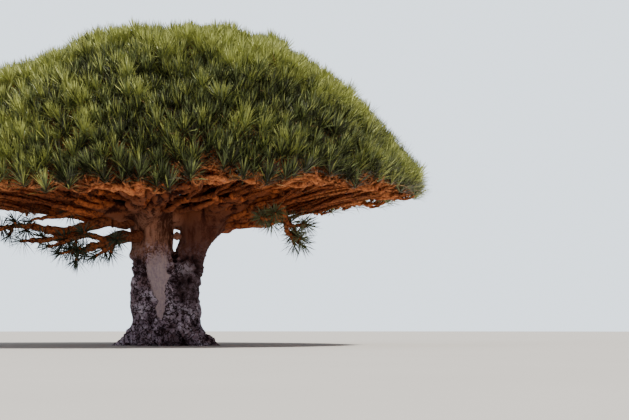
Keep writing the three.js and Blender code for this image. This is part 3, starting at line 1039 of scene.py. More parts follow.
@dataclass
class TrunkAndBoughs:
    """Two fused stems on a flared foot, with every main bough grown out of their knuckles."""

    framework: Framework
    relief: BarkRelief = BarkRelief()
    smooth_place: SmoothPlace = SmoothPlace()
    left_stem: tuple = (
        (-0.15, 0.01, 0.0), (-0.20, 0.0, 0.5), (-0.24, -0.01, 0.95), (-0.28, -0.01, 1.5),
        (-0.29, 0.0, 1.8), (-0.29, 0.0, 2.1), (-0.33, 0.0, 2.35),
    )
    right_stem: tuple = (
        (0.18, 0.07, 0.0), (0.21, 0.07, 0.5), (0.26, 0.06, 0.95), (0.37, 0.06, 1.5),
        (0.46, 0.07, 1.8), (0.56, 0.08, 2.1), (0.68, 0.09, 2.35),
    )
    left_radii: tuple = (0.45, 0.42, 0.39, 0.375, 0.37, 0.375, 0.40)
    right_radii: tuple = (0.38, 0.34, 0.31, 0.29, 0.265, 0.355, 0.45)
    stem_sides: int = 32
    knuckle: tuple = (0.4, 0.4, 0.29)
    saddle: tuple = (
        ((0.10, 0.02, 2.32), (0.24, 0.30, 0.17)),
        ((-0.14, -0.12, 2.52), (0.36, 0.34, 0.20)),
    )
    bridge: tuple = ((0.155, -0.20, 1.96), (0.09, 0.07, 0.06))
    toes: int = 8
    toe_root: tuple = (0.28, 0.5)
    toe_bend: tuple = (0.5, 0.05)
    toe_tip: tuple = (0.56, -0.06)
    toe_reach: float = 0.46
    toe_variety: tuple = (0.25, 1.9)
    toe_scatter: tuple = (0.3, 2.7)
    toe_radii: tuple = (0.22, 0.145, 0.035)
    toe_rings: int = 8
    toe_sides: int = 16
    foot_depth: float = 0.85
    limb_rings: int = 15
    collar: tuple = (0.35, 7.0)
    strands: int = 3
    strand_twist: float = 4.2
    strand_spread: float = 1.9
    strand_part: float = 0.45
    strand_radii: tuple = (0.72, 0.34)
    strand_knobs: tuple = (0.1, 23.0)
    strand_sides: int = 12
    voxel: float = 0.038
    softness: float = 0.5
    soft_rounds: int = 3
    fine_soft_rounds: int = 2
    middle: float = 0.15
    fine_below: float = 2.12
    fine_within: float = 1.2
    trunk_within: tuple = (0.85, 1.15)
    old_below: tuple = (1.35, 1.95)
    old_edge: Texture = Texture((2.5, 2.5, 2.5), 1, 61)
    old_wandering: float = 0.2
    smoothing: float = 0.85
    pits_shaded_from: tuple = (0.10, 0.19)
    pit_shade: float = 0.5
    hollows_shaded_from: tuple = (0.35, 0.8)
    hollow_shade: float = 0.95
    raised_scale: tuple = (0.022, 0.12)
    grounded_within: float = 0.05
    knot_marks: tuple = (
        Mark(0.36, 1.40, 0.11, 0.10),
        Mark(0.24, 1.53, 0.045, -0.09),
        Mark(0.34, 1.58, 0.05, -0.10),
        Mark(0.45, 1.57, 0.06, -0.12),
        Mark(0.53, 1.50, 0.07, -0.14),
        Mark(0.58, 1.40, 0.07, -0.14),
        Mark(0.57, 1.30, 0.05, -0.10),
        Mark(0.41, 1.17, 0.06, -0.14),
        Mark(0.19, 1.12, 0.05, -0.09),
        Mark(0.12, 1.62, 0.045, -0.10),
        Mark(0.12, 1.52, 0.04, -0.09),
        Mark(0.13, 1.42, 0.04, -0.08),
        Mark(0.15, 1.32, 0.035, -0.07),
        Mark(0.27, 0.92, 0.035, -0.07),
        Mark(0.27, 0.80, 0.03, -0.06),
        Mark(0.64, 1.40, 0.11, 0.05),
        Mark(0.60, 1.08, 0.12, 0.045),
        Mark(-0.34, 0.83, 0.05, -0.11),
        Mark(-0.34, 0.85, 0.11, 0.05),
        Mark(-0.55, 1.50, 0.07, -0.08),
        Mark(-0.45, 1.26, 0.045, -0.06),
        Mark(-0.60, 1.30, 0.045, -0.06),
        Mark(0.08, 0.35, 0.05, -0.07),
        Mark(-0.12, 0.30, 0.04, -0.07),
        Mark(0.36, 0.55, 0.12, 0.05),
        Mark(-0.42, 0.62, 0.12, 0.05),
        Mark(-0.62, 1.62, 0.10, 0.05),
        Mark(-0.60, 1.12, 0.12, 0.05),
        Mark(-0.58, 0.70, 0.10, 0.05),
        Mark(0.30, 1.10, 0.08, -0.10, side=1.0),
        Mark(-0.20, 1.35, 0.13, 0.06, side=1.0),
        Mark(-0.33, 1.47, 0.06, -0.10, side=1.0),
        Mark(-0.35, 0.80, 0.07, -0.09, side=1.0),
    )

    def build(self) -> bpy.types.Mesh:
        """Builds the fused body.

        Returns:
            The mesh, with the attributes that tell its bark where it is hollow, smooth or raised.
        """
        made = bmesh.new()
        self._stem(made, self.left_stem, self.left_radii)
        self._stem(made, self.right_stem, self.right_radii)
        self._foot(made)
        for centre, size in self._knuckles():
            matrix = Matrix.Translation(centre) @ Matrix.Diagonal((*size, 1.0))
            bmesh.ops.create_icosphere(made, subdivisions=3, radius=1.0, matrix=matrix)
        for limb in self.framework.stout():
            self._limb(made, limb)
        bmesh.ops.recalc_face_normals(made, faces=made.faces)
        rough = bpy.data.meshes.new("trunk_and_boughs")
        made.to_mesh(rough)
        made.free()
        fused = self._fused(rough)
        self._carve(fused)
        return fused

    def _knuckles(self) -> list:
        """Gives the middles and the sizes of the swellings that the boughs spring from."""
        feet = (self.framework.left_knuckle, self.framework.right_knuckle)
        return [*((foot, self.knuckle) for foot in feet), *self.saddle, self.bridge]

    def _tube(self, made: bmesh.types.BMesh, centres: Sequence, headings: Sequence, radii: Sequence,
              sides: int) -> None:
        """Extrudes a round tube along a line.

        Args:
            made: the mesh that it is added to.
            centres: the middle of each ring.
            headings: the direction of the line at each ring.
            radii: the radius of each ring.
            sides: the number of corners of a ring.
        """
        matrices = []
        for centre, heading, radius in zip(centres, headings, radii):
            turn = Vector((0, 0, 1)).rotation_difference(Vector(heading)).to_matrix().to_4x4()
            matrices.append(Matrix.Translation(Vector(centre)) @ turn @ Matrix.Scale(radius, 4))
        ring = bmesh.ops.create_circle(made, cap_ends=True, segments=sides, radius=1.0, matrix=matrices[0])
        face = ring["verts"][0].link_faces[0]
        for index in range(1, len(matrices)):
            grown = bmesh.ops.extrude_face_region(made, geom=[face], use_keep_orig=index == 1)["geom"]
            face = next(part for part in grown if isinstance(part, bmesh.types.BMFace))
            move = matrices[index] @ matrices[index - 1].inverted()
            bmesh.ops.transform(made, matrix=move, verts=face.verts)

    def _stem(self, made: bmesh.types.BMesh, points: tuple, radii: tuple) -> None:
        """Adds one of the two stems.

        Args:
            made: the mesh that it is added to.
            points: the points that its middle line passes.
            radii: its radius at each of them.
        """
        curve = Curve.through(points)
        shares = np.linspace(0.0, 1.0, 2 * len(points) - 1)
        widths = np.interp(shares, np.linspace(0.0, 1.0, len(points)), radii)
        headings = [(0.0, 0.0, 1.0), *[curve.heading(share) for share in shares[1:]]]
        self._tube(made, [curve.at(share) for share in shares], headings, widths, self.stem_sides)

    def _foot(self, made: bmesh.types.BMesh) -> None:
        """Adds the flared foot: root toes of uneven reach, unevenly spaced.

        Args:
            made: the mesh that it is added to.
        """
        shares = np.linspace(0.0, 1.0, self.toe_rings)
        widths = np.interp(shares, np.linspace(0.0, 1.0, len(self.toe_radii)), self.toe_radii)
        root, root_height = self.toe_root
        bend, bend_height = self.toe_bend
        tip, tip_height = self.toe_tip
        variety, varied_by = self.toe_variety
        scatter, scattered_by = self.toe_scatter
        for index in range(self.toes):
            azimuth = (index + scatter * math.sin(scattered_by * index)) * TURN / self.toes
            out = np.array((math.cos(azimuth), self.foot_depth * math.sin(azimuth), 0.0))
            reach = self.toe_reach * (1.0 + variety * math.sin(varied_by * index))
            end = out * (tip + reach) + UP * tip_height
            curve = Curve.bezier(out * root + UP * root_height, out * bend + UP * bend_height, end)
            centres = [curve.at(share) for share in shares]
            self._tube(made, centres, [curve.heading(share) for share in shares], widths, self.toe_sides)

    def _limb(self, made: bmesh.types.BMesh, limb: Limb) -> None:
        """Adds one bough as strands that are fused where it leaves the trunk and part towards its tip.

        Args:
            made: the mesh that it is added to.
            limb: the bough.
        """
        shares = np.linspace(0.0, 1.0, self.limb_rings)
        collar, fading = self.collar
        widths = np.interp(shares, (0.0, 1.0), limb.radii) * (1.0 + collar * np.exp(-fading * shares))
        centres = np.array([limb.curve.at(share) for share in shares])
        headings = np.array([limb.curve.heading(share) for share in shares])
        aside = unit(np.cross(UP, headings))
        over = np.cross(headings, aside)
        thick, taper = self.strand_radii
        knob, knobs = self.strand_knobs
        for strand in range(self.strands):
            turn = TURN * strand / self.strands + self.strand_twist * shares + limb.curve.at(1.0)[0]
            away_aside = np.cos(turn) * widths * (self.strand_part + self.strand_spread * shares)
            away_over = np.sin(turn) * widths * self.strand_part
            middles = centres + aside * away_aside[:, None] + over * away_over[:, None]
            radii = widths * (thick - taper * shares) * (1.0 + knob * np.sin(shares * knobs + turn))
            self._tube(made, middles, unit(np.gradient(middles, axis=0)), radii, self.strand_sides)

    def _fused(self, rough: bpy.types.Mesh) -> bpy.types.Mesh:
        """Fuses the overlapping shapes into one smooth skin and cuts its foot off level.

        Args:
            rough: the mesh of overlapping shapes, which is removed.

        Returns:
            The fused mesh.
        """
        holder = bpy.data.objects.new("trunk_and_boughs_rough", rough)
        bpy.context.scene.collection.objects.link(holder)
        remesh = holder.modifiers.new("fuse", "REMESH")
        remesh.mode = "VOXEL"
        remesh.voxel_size = self.voxel
        soften = holder.modifiers.new("soften", "SMOOTH")
        soften.factor = self.softness
        soften.iterations = self.soft_rounds
        depsgraph = bpy.context.evaluated_depsgraph_get()
        fused = bpy.data.meshes.new_from_object(holder.evaluated_get(depsgraph))
        bpy.data.objects.remove(holder)
        bpy.data.meshes.remove(rough)
        cut = bmesh.new()
        cut.from_mesh(fused)
        self._refine(cut)
        self._cut_level(cut)
        cut.to_mesh(fused)
        cut.free()
        fused.name = "trunk_and_boughs"
        fused.shade_smooth()
        return fused

    def _refine(self, body: bmesh.types.BMesh) -> None:
        """Parts the trunk's own faces in four, so that its bark can carry finer relief.

        Args:
            body: the fused body.
        """
        fine = []
        for face in body.faces:
            centre = face.calc_center_median()
            if centre.z < self.fine_below and math.hypot(centre.x - self.middle, centre.y) < self.fine_within:
                fine.append(face)
        edges = list({edge for face in fine for edge in face.edges})
        bmesh.ops.subdivide_edges(body, edges=edges, cuts=1, use_grid_fill=True)
        for _ in range(self.fine_soft_rounds):
            bmesh.ops.smooth_vert(
                body,
                verts=body.verts,
                factor=self.softness,
                use_axis_x=True,
                use_axis_y=True,
                use_axis_z=True,
            )

    @staticmethod
    def _cut_level(body: bmesh.types.BMesh) -> None:
        """Cuts the body's foot off level, at a height of zero, and closes the cut.

        Args:
            body: the fused body.
        """
        parts = [*body.verts, *body.edges, *body.faces]
        sliced = bmesh.ops.bisect_plane(
            body, geom=parts, plane_co=(0, 0, 0), plane_no=(0, 0, 1), clear_inner=True
        )
        rim = [part for part in sliced["geom_cut"] if isinstance(part, bmesh.types.BMEdge)]
        bmesh.ops.holes_fill(body, edges=rim, sides=0)
        bmesh.ops.triangulate(body, faces=[face for face in body.faces if len(face.verts) > 4])

    def _carve(self, mesh: bpy.types.Mesh) -> None:
        """Moves the skin in and out for the bark's relief, and notes where it is hollow, smooth or raised.

        Args:
            mesh: the fused body.
        """
        points, normals = self._rows(mesh, "co"), self._rows(mesh, "normal")
        trunk = 1.0 - smooth_step(*self.trunk_within, np.hypot(points[:, 0] - self.middle, points[:, 1]))
        edge = points[:, 2] + self.old_wandering * self.old_edge.at(points)
        old = (1.0 - smooth_step(*self.old_below, edge)) * trunk
        smooth = self.smooth_place.share(points) * old
        knobbly = self.relief.knobbly(points)
        rise = old * (1.0 - self.smoothing * smooth) * knobbly
        rise = rise + (1.0 - old) * trunk * self.relief.fibrous(points)
        rise = rise + (1.0 - trunk) * self.relief.ropy(points)
        # Where the old bark's pits are deep and under the hollow marks, the bark gets painted shade.
        hollow = self.pit_shade * old * smooth_step(*self.pits_shaded_from, -knobbly) * (1.0 - smooth)
        for mark in self.knot_marks:
            share = mark.share(points)
            rise += mark.rise * share
            if mark.rise < 0:
                hollow = np.maximum(hollow, smooth_step(*self.hollows_shaded_from, share) * self.hollow_shade)
        grounded = smooth_step(0.0, self.grounded_within, points[:, 2])
        points += normals * (rise * grounded)[:, None]
        points[:, 2] = np.maximum(points[:, 2], 0.0)
        mesh.vertices.foreach_set("co", points.ravel())
        self._note(mesh, "hollow", hollow)
        self._note(mesh, "smooth", smooth)
        # The raised attribute tells the barks where to paint shade in creases and light on ridges.
        self._note(mesh, "raised", smooth_step(-1.0, 1.0, rise / blend(*self.raised_scale, old)))
        mesh.update()

    @staticmethod
    def _rows(mesh: bpy.types.Mesh, name: str) -> np.ndarray:
        """Reads a property of the mesh's vertices.

        Args:
            mesh: the mesh.
            name: the property, which has three numbers.

        Returns:
            One row for each vertex.
        """
        numbers = np.empty(len(mesh.vertices) * 3)
        mesh.vertices.foreach_get(name, numbers)
        return numbers.reshape(-1, 3)

    @staticmethod
    def _note(mesh: bpy.types.Mesh, name: str, values: np.ndarray) -> None:
        """Writes one number for each vertex onto the mesh."""
        attribute = mesh.attributes.new(name, "FLOAT", "POINT")
        attribute.data.foreach_set("value", values.astype(np.float32))


# The rosettes' places


@dataclass
class Sites:
    """Where the rosettes grow.

    Each rosette has its growing point, its axis, its size, the mass that it belongs to, how far out on the
    dome it is, and how far the dome swells there.
    """

    points: np.ndarray
    axes: np.ndarray
    sizes: np.ndarray
    masses: np.ndarray
    shares: np.ndarray
    swells: np.ndarray

    def of(self, mass: str) -> np.ndarray:
        """Gives the numbers of a mass's rosettes."""
        return np.flatnonzero(self.masses == mass)


@dataclass
class Crown:
    """Deals the rosettes out over the dome, evenly by area and with a closer row round its rim."""

    dome: Dome
    rosettes: int = 2450
    even_to: float = 0.965
    rim_rosettes: int = 330
    rim_row: tuple = (0.985, 0.025)
    outermost: float = 0.995
    jitter: float = 0.05
    least_share: float = 0.15
    steps: int = 400
    spokes: int = 24
    notch_azimuth: float = -1.44
    notch_half_width: float = 0.034
    notch_from: float = 0.945
    depth: float = 0.29
    depth_spread: float = 0.025
    top_dwarfed: float = 0.14
    dwarfed_within: tuple = (0.25, 0.75)
    outward_pull: float = 0.5
    upward_pull: float = 1.15
    lean_spread: float = 0.14
    sizes: tuple = (0.86, 1.12)

    def sites(self, random: np.random.Generator) -> Sites:
        """Deals out the rosettes of every mass of the dome.

        Args:
            random: the source of the rosettes' variation.

        Returns:
            The places of the rosettes.
        """
        azimuth, share = self._spread(random)
        count = len(share)
        outward = self.dome.outward(azimuth, share)
        swells = self.dome.swell(azimuth, share)
        dwarfed = self.top_dwarfed * (1.0 - smooth_step(*self.dwarfed_within, share))
        depth = self.depth * (1.0 - dwarfed) - swells + random.normal(0.0, self.depth_spread, count)
        points = self.dome.outline(azimuth, share) - outward * depth[:, None]
        points[:, 2] -= self.dome.sag(azimuth, share)
        lean = random.normal(0.0, self.lean_spread, (count, 3))
        axes = unit(outward * self.outward_pull + UP * self.upward_pull + lean)
        sizes = random.uniform(*self.sizes, count) * (1.0 - dwarfed)
        return Sites(points, axes, sizes, self._masses(azimuth, share), share, swells)

    def _spread(self, random: np.random.Generator) -> tuple:
        """Spreads the rosettes over the dome by the golden angle, and round its rim.

        Args:
            random: the source of the jitter.

        Returns:
            The azimuth of each rosette, and how far out it is as a share of the way to the rim.
        """
        azimuths = (np.arange(self.rosettes) * GOLDEN_ANGLE) % TURN
        rim_azimuths = np.linspace(0.0, TURN, self.rim_rosettes, endpoint=False)
        rim_share, row_step = self.rim_row
        rim_shares = rim_share - row_step * (np.arange(self.rim_rosettes) % 2)
        azimuth = np.concatenate((azimuths, rim_azimuths))
        share = np.concatenate((self._even_shares(), rim_shares))
        scatter = random.normal(0.0, self.jitter, (2, len(share))) / self.dome.radius.at(azimuth)
        share = np.clip(share + scatter[0], 0.0, self.outermost)
        azimuth = azimuth + scatter[1] / np.maximum(share, self.least_share)
        turn = (azimuth - self.notch_azimuth + math.pi) % TURN - math.pi
        kept = (np.abs(turn) > self.notch_half_width) | (share < self.notch_from)
        return azimuth[kept], share[kept]

    def _even_shares(self) -> np.ndarray:
        """Works out how far out each rosette is, so that each has the same area of the dome.

        Returns:
            One share of the way to the rim for each rosette.
        """
        steps = np.linspace(0.0, self.even_to, self.steps)
        around = np.linspace(0.0, TURN, self.spokes, endpoint=False)
        rings = np.stack([self.dome.outline(np.full(self.steps, azimuth), steps) for azimuth in around])
        slant = np.linalg.norm(np.diff(rings, axis=1), axis=2).mean(axis=0)
        area = np.concatenate(([0.0], np.cumsum(slant * (steps[1:] + steps[:-1]))))
        wanted = (np.arange(self.rosettes) + 0.5) / self.rosettes * area[-1]
        return np.interp(wanted, area, steps)

    @staticmethod
    def _masses(azimuth: np.ndarray, share: np.ndarray) -> np.ndarray:
        """Finds the mass that each rosette belongs to.

        Args:
            azimuth: the azimuth of each rosette.
            share: how far out each one is.

        Returns:
            The name of the mass of each rosette.
        """
        names = np.empty(len(share), dtype=object)
        for ring in (OUTER, MID, TOP):
            inside = (share >= ring.inner) & (share < ring.outer)
            for number, index in zip(np.flatnonzero(inside), ring.index_at(azimuth[inside])):
                names[number] = ring.node(index)
        return names


# Limbs and twigs that fork by halves


@dataclass(frozen=True)
class Tube:
    """How stretches of wood are rounded.

    A tube has a number of corners to a ring and a number of rings. It wanders off its line, has lumps, and
    swells at both ends, where it meets a fork.
    """

    sides: int
    rings: int
    wave: float
    wave_scale: float = 3.6
    wave_seed: int = 30
    tautness: float = 0.6
    lump: float = 0.27
    lump_scale: float = 13.0
    lump_seed: int = 41
    swelling: float = 0.16


LIMB_TUBE = Tube(sides=7, rings=13, wave=0.09)
TWIG_TUBE = Tube(sides=4, rings=6, wave=0.03)
HANGING_TUBE = Tube(sides=10, rings=14, wave=0.05)


@dataclass
class Stretches:
    """Stretches of wood between two forks.

    Each row has the start and the slope there, the end and the slope there, and the radius.
    """

    rows: list = field(default_factory=list)

    def add(self, start: np.ndarray, leaving: np.ndarray, end: np.ndarray, arriving: np.ndarray,
            radius: float) -> None:
        """Keeps one stretch."""
        self.rows.append(np.concatenate((start, leaving, end, arriving, (radius,))))

    def add_curve(self, curve: Curve, radii: tuple) -> None:
        """Keeps a whole curve, whose stretches step down from one radius towards the other.

        Args:
            curve: the curve.
            radii: the first radius, and the one that the curve's end would have.
        """
        arcs = curve.arcs()
        for arc, radius in zip(arcs, np.linspace(*radii, len(arcs) + 1)):
            self.add(*arc, radius)

    def chosen(self, mask: np.ndarray) -> "Stretches":
        """Gives the stretches that a mask chooses."""
        return Stretches([row for row, kept in zip(self.rows, mask) if kept])

    def radii(self) -> np.ndarray:
        """Gives the radius of each stretch."""
        return np.array([row[12] for row in self.rows])

    def ends(self) -> np.ndarray:
        """Gives the point where each stretch ends."""
        return np.array([row[6:9] for row in self.rows])

    def mesh(self, name: str, tube: Tube) -> bpy.types.Mesh:
        """Builds every stretch as a closed, knobbly tube.

        Args:
            name: the mesh's name.
            tube: how the stretches are rounded.

        Returns:
            The mesh.
        """
        rows = np.array(self.rows)
        share = np.linspace(0.0, 1.0, tube.rings)[None, :, None]
        line = self._lines(rows, share, tube)
        lumps = 1.0 + tube.lump * lattice_noise(line.reshape(-1, 3) * tube.lump_scale, tube.lump_seed)
        swollen = 1.0 + tube.swelling * (2.0 * share - 1.0) ** 6
        radius = rows[:, 12, None, None] * lumps.reshape(len(rows), tube.rings, 1) * swollen
        skin = self._skin(line, rows[:, 6:9] - rows[:, 0:3], radius, tube)
        made = mesh_from(name, skin.reshape(-1, 3), self._faces(len(rows), tube))
        made.shade_smooth()
        return made

    @staticmethod
    def _lines(rows: np.ndarray, share: np.ndarray, tube: Tube) -> np.ndarray:
        """Draws the middle line of each tube, which wanders most halfway.

        Args:
            rows: the stretches.
            share: the share of the way at each ring.
            tube: how the stretches are rounded.

        Returns:
            A row of points for each stretch, one for each ring.
        """
        parts = (rows[:, 0:3], rows[:, 3:6], rows[:, 6:9], rows[:, 9:12])
        line = sum(weight * part[:, None] for weight, part in zip(arc_weights(share), parts))
        held = (4.0 * share * (1.0 - share)) ** tube.tautness
        flat = line.reshape(-1, 3) * tube.wave_scale
        wander = np.stack([lattice_noise(flat, tube.wave_seed + axis) for axis in range(3)], axis=1)
        return line + wander.reshape(line.shape) * held * tube.wave

    @staticmethod
    def _skin(line: np.ndarray, reach: np.ndarray, radius: np.ndarray, tube: Tube) -> np.ndarray:
        """Sets the rings of corners round the middle lines.

        Args:
            line: the middle lines, a row of points for each stretch.
            reach: the way from the start to the end of each stretch.
            radius: the radius of each ring.
            tube: how the stretches are rounded.

        Returns:
            The corners, by stretch and ring.
        """
        heading = unit(np.gradient(line, axis=1))
        aside = unit(np.cross(unit(reach), np.array((0.31, 0.22, 0.925))))[:, None]
        across = unit(np.cross(heading, np.cross(np.broadcast_to(aside, heading.shape), heading)))
        other = np.cross(heading, across)
        angle = (np.arange(tube.sides) * TURN / tube.sides)[None, None, :, None]
        ring = np.cos(angle) * across[:, :, None] + np.sin(angle) * other[:, :, None]
        return line[:, :, None] + radius[:, :, None, :] * ring

    @staticmethod
    def _faces(count: int, tube: Tube) -> list:
        """Numbers the corners of the tubes' walls, of their caps at the root and of those at the tip.

        Args:
            count: the number of tubes.
            tube: how they are rounded.

        Returns:
            The walls, the root caps and the tip caps.
        """
        sides, rings = tube.sides, tube.rings
        first = (np.arange(count) * rings * sides)[:, None]
        corner = np.arange(sides)
        following = (corner + 1) % sides
        base = first[:, :, None] + (np.arange(rings - 1) * sides)[None, :, None]
        above = base + sides
        walls = np.stack((base + corner, base + following, above + following, above + corner), -1)
        return [walls.reshape(-1, 4), first + corner[::-1], first + (rings - 1) * sides + corner]


@dataclass(frozen=True)
class Way:
    """The way from a bough to some rosettes.

    It has a root and a heading there, a bow to one side as a share of its length, the shares of the way where
    it forks, the shares of its reach and of its rise at its bend, and a stalk below the rosettes.
    """

    root: np.ndarray
    heading: np.ndarray
    bow: float
    forks: tuple
    bend: tuple
    stalk: float


@dataclass
class Branching:
    """Grows limbs and twigs from a bough to its rosettes: every fork parts its rosettes by halves."""

    sites: Sites
    stretches: Stretches
    tip_radius: float = 0.0185
    pipe: float = 2.5
    root_swell: float = 1.35
    tension: float = 0.8
    heading_reach: float = 0.4
    heading_pull: float = 0.25
    halvings: int = 4
    forks: tuple = (0.0, 0.34, 0.56, 0.73, 0.87)
    bend: tuple = (0.58, 0.27)
    bow: float = 0.4
    stalk: float = 0.1
    starts: tuple = (0.1, 1.0)
    low_tip: float = 3.2
    low_groups: int = 7
    low_start: tuple = (0.2, -0.14, 0.055)
    low_rise: float = 0.12
    near_lift: float = 0.22
    rim_share: float = 0.95
    rim_forks: tuple = (0.0, 0.84, 0.91, 0.95, 0.97)
    rim_bend: tuple = (0.6, 0.2)
    rim_bows: tuple = (0.75, -0.45, 0.5, -0.7)
    rim_stalk: float = 0.2
    rim_starts: tuple = (0.62, 0.98)

    def grow(self, limb: Limb, members: np.ndarray) -> None:
        """Grows the wood of one mass of the dome.

        Args:
            limb: the bough that carries the mass.
            members: the numbers of the mass's rosettes.
        """
        at_rim = self.sites.shares[members] > self.rim_share
        self._grow_inside(limb, members[~at_rim])
        quarters = [part for half in self._halves(members[at_rim]) for part in self._halves(half)]
        shares = np.linspace(*self.rim_starts, len(self.rim_bows))
        for part, share, bow in zip(quarters, shares, self.rim_bows):
            root, heading = limb.curve.at(share), limb.curve.heading(share)
            way = Way(root, heading, bow, self.rim_forks, self.rim_bend, self.rim_stalk)
            self.fork(part, way, root, heading, 0)

    def _grow_inside(self, limb: Limb, members: np.ndarray) -> None:
        """Grows the wood that ends inside the rim.

        Args:
            limb: the bough that carries the mass.
            members: the numbers of the rosettes.
        """
        parts = [members]
        for _ in range(self.halvings):
            parts = [half for part in parts for half in self._halves(part)]
        reach = [np.linalg.norm(self._middle(part) - limb.curve.at(0.0)) for part in parts]
        order = np.argsort(reach)[::-1]
        low = self.low_groups if limb.curve.at(1.0)[2] < self.low_tip else 0
        for place, number in enumerate(order):
            if place < low:
                root, heading = self._knuckle_root(limb.foot, parts[number], place)
            else:
                share = blend(*self.starts, (place - low) / (len(order) - 1 - low))
                root, heading = limb.curve.at(share), limb.curve.heading(share)
            way = Way(root, heading, self.bow * (-1.0) ** place, self.forks, self.bend, self.stalk)
            self.fork(parts[number], way, root, heading, 0)

    def _knuckle_root(self, foot: np.ndarray, members: np.ndarray, place: int) -> tuple:
        """Gives the root and the direction of a long limb that leaves the trunk's knuckle low down.

        Args:
            foot: the middle of the knuckle.
            members: the rosettes that the limb feeds.
            place: the limb's number, which sets how high it leaves.

        Returns:
            The root and the direction there.
        """
        out = self._middle(members) - foot
        out[2] = 0.0
        out = unit(out)
        reach, drop, step = self.low_start
        lift = self.near_lift * max(0.0, -out[1])
        return foot + out * reach + UP * (drop + lift + step * place), unit(out + UP * self.low_rise)

    def _middle(self, members: np.ndarray) -> np.ndarray:
        """Gives the middle of some rosettes' growing points."""
        return self.sites.points[members].mean(axis=0)

    def _halves(self, members: np.ndarray) -> list:
        """Parts rosettes into two halves across their widest spread.

        Args:
            members: the rosettes.

        Returns:
            The halves that aren't empty.
        """
        if not len(members):
            return []
        points = self.sites.points[members]
        axis = np.argmax(np.ptp(points, axis=0))
        order = members[np.argsort(points[:, axis])]
        half = (len(order) + 1) // 2
        return [part for part in (order[:half], order[half:]) if len(part)]

    def _radius(self, count: int) -> float:
        """Gives the radius of the wood that feeds a number of rosettes."""
        return self.tip_radius * count ** (1.0 / self.pipe)

    @staticmethod
    def _fork_share(way: Way, level: int) -> float:
        """Gives how far along the way a fork is: past the way's own forks, each halves what is left."""
        return way.forks[level] if level < len(way.forks) else 1.0 - 0.5 ** (level - 2)

    def _path(self, way: Way, members: np.ndarray, share: float) -> tuple:
        """Reads the way from the bough to the middle of some rosettes.

        Args:
            way: the way.
            members: the rosettes.
            share: how far along the way to read.

        Returns:
            The point and the direction there.
        """
        axis = unit(self.sites.axes[members].mean(axis=0))
        target = self._middle(members) - axis * way.stalk
        level, height = way.bend
        bend = blend(way.root, target, level)
        bend[2] = blend(way.root[2], target[2], height)
        reach = target - way.root
        length = np.linalg.norm(reach)
        bend = bend + unit(np.cross(UP, reach)) * length * way.bow
        ahead = way.root + way.heading * length * self.heading_reach
        curve = Curve.bezier(way.root, blend(bend, ahead, self.heading_pull), target)
        return curve.at(share), curve.heading(share)

    def fork(self, members: np.ndarray, way: Way, start: np.ndarray, leaving: np.ndarray, level: int) -> None:
        """Grows from one fork to the next, and on from there.

        Args:
            members: the rosettes that this wood feeds.
            way: the way from the bough to them.
            start: the fork that this stretch begins at.
            leaving: the direction of the wood before it.
            level: the number of forks since the bough.
        """
        count = len(members)
        if count == 1:
            end = self.sites.points[members[0]]
            arriving = self.sites.axes[members[0]]
        else:
            end, arriving = self._path(way, members, self._fork_share(way, level + 1))
        length = np.linalg.norm(end - start)
        radius = self._radius(count) * (self.root_swell if level == 0 else 1.0)
        slopes = (leaving * length * self.tension, arriving * length * self.tension)
        self.stretches.add(start, slopes[0], end, slopes[1], radius)
        if count > 1:
            for part in self._halves(members):
                self.fork(part, way, end, arriving, level + 1)


@dataclass(frozen=True)
class CrownWood:
    """The wood of the dome, sorted into pieces by its thickness and by how near the rim it grows."""

    dome: Dome
    stretches: Stretches
    limb_radius: float = 0.031
    outer_share: float = 0.78

    def pieces(self) -> list:
        """Builds the pieces.

        Returns:
            The mesh and the bark of each piece.
        """
        thick = self.stretches.radii() > self.limb_radius
        outer = self.dome.share_at(self.stretches.ends()) > self.outer_share
        # Painted light and shade: the pieces near the rim wear the bright barks, those inside the crown the
        # dark ones.
        kinds = (
            ("inner_limbs", thick & ~outer, LIMB_TUBE, Bark.INNER_LIMB),
            ("outer_limbs", thick & outer, LIMB_TUBE, Bark.OUTER_LIMB),
            ("inner_twigs", ~thick & ~outer, TWIG_TUBE, Bark.INNER_TWIG),
            ("outer_twigs", ~thick & outer, TWIG_TUBE, Bark.OUTER_TWIG),
        )
        return [(self.stretches.chosen(mask).mesh(name, tube), bark) for name, mask, tube, bark in kinds]


@dataclass(frozen=True)
class Spur:
    """A branch of a low bough: where it leaves the bough, the points it passes, its stars and its radii."""

    share: float
    points: tuple
    stars: int
    radii: tuple = (0.048, 0.028)


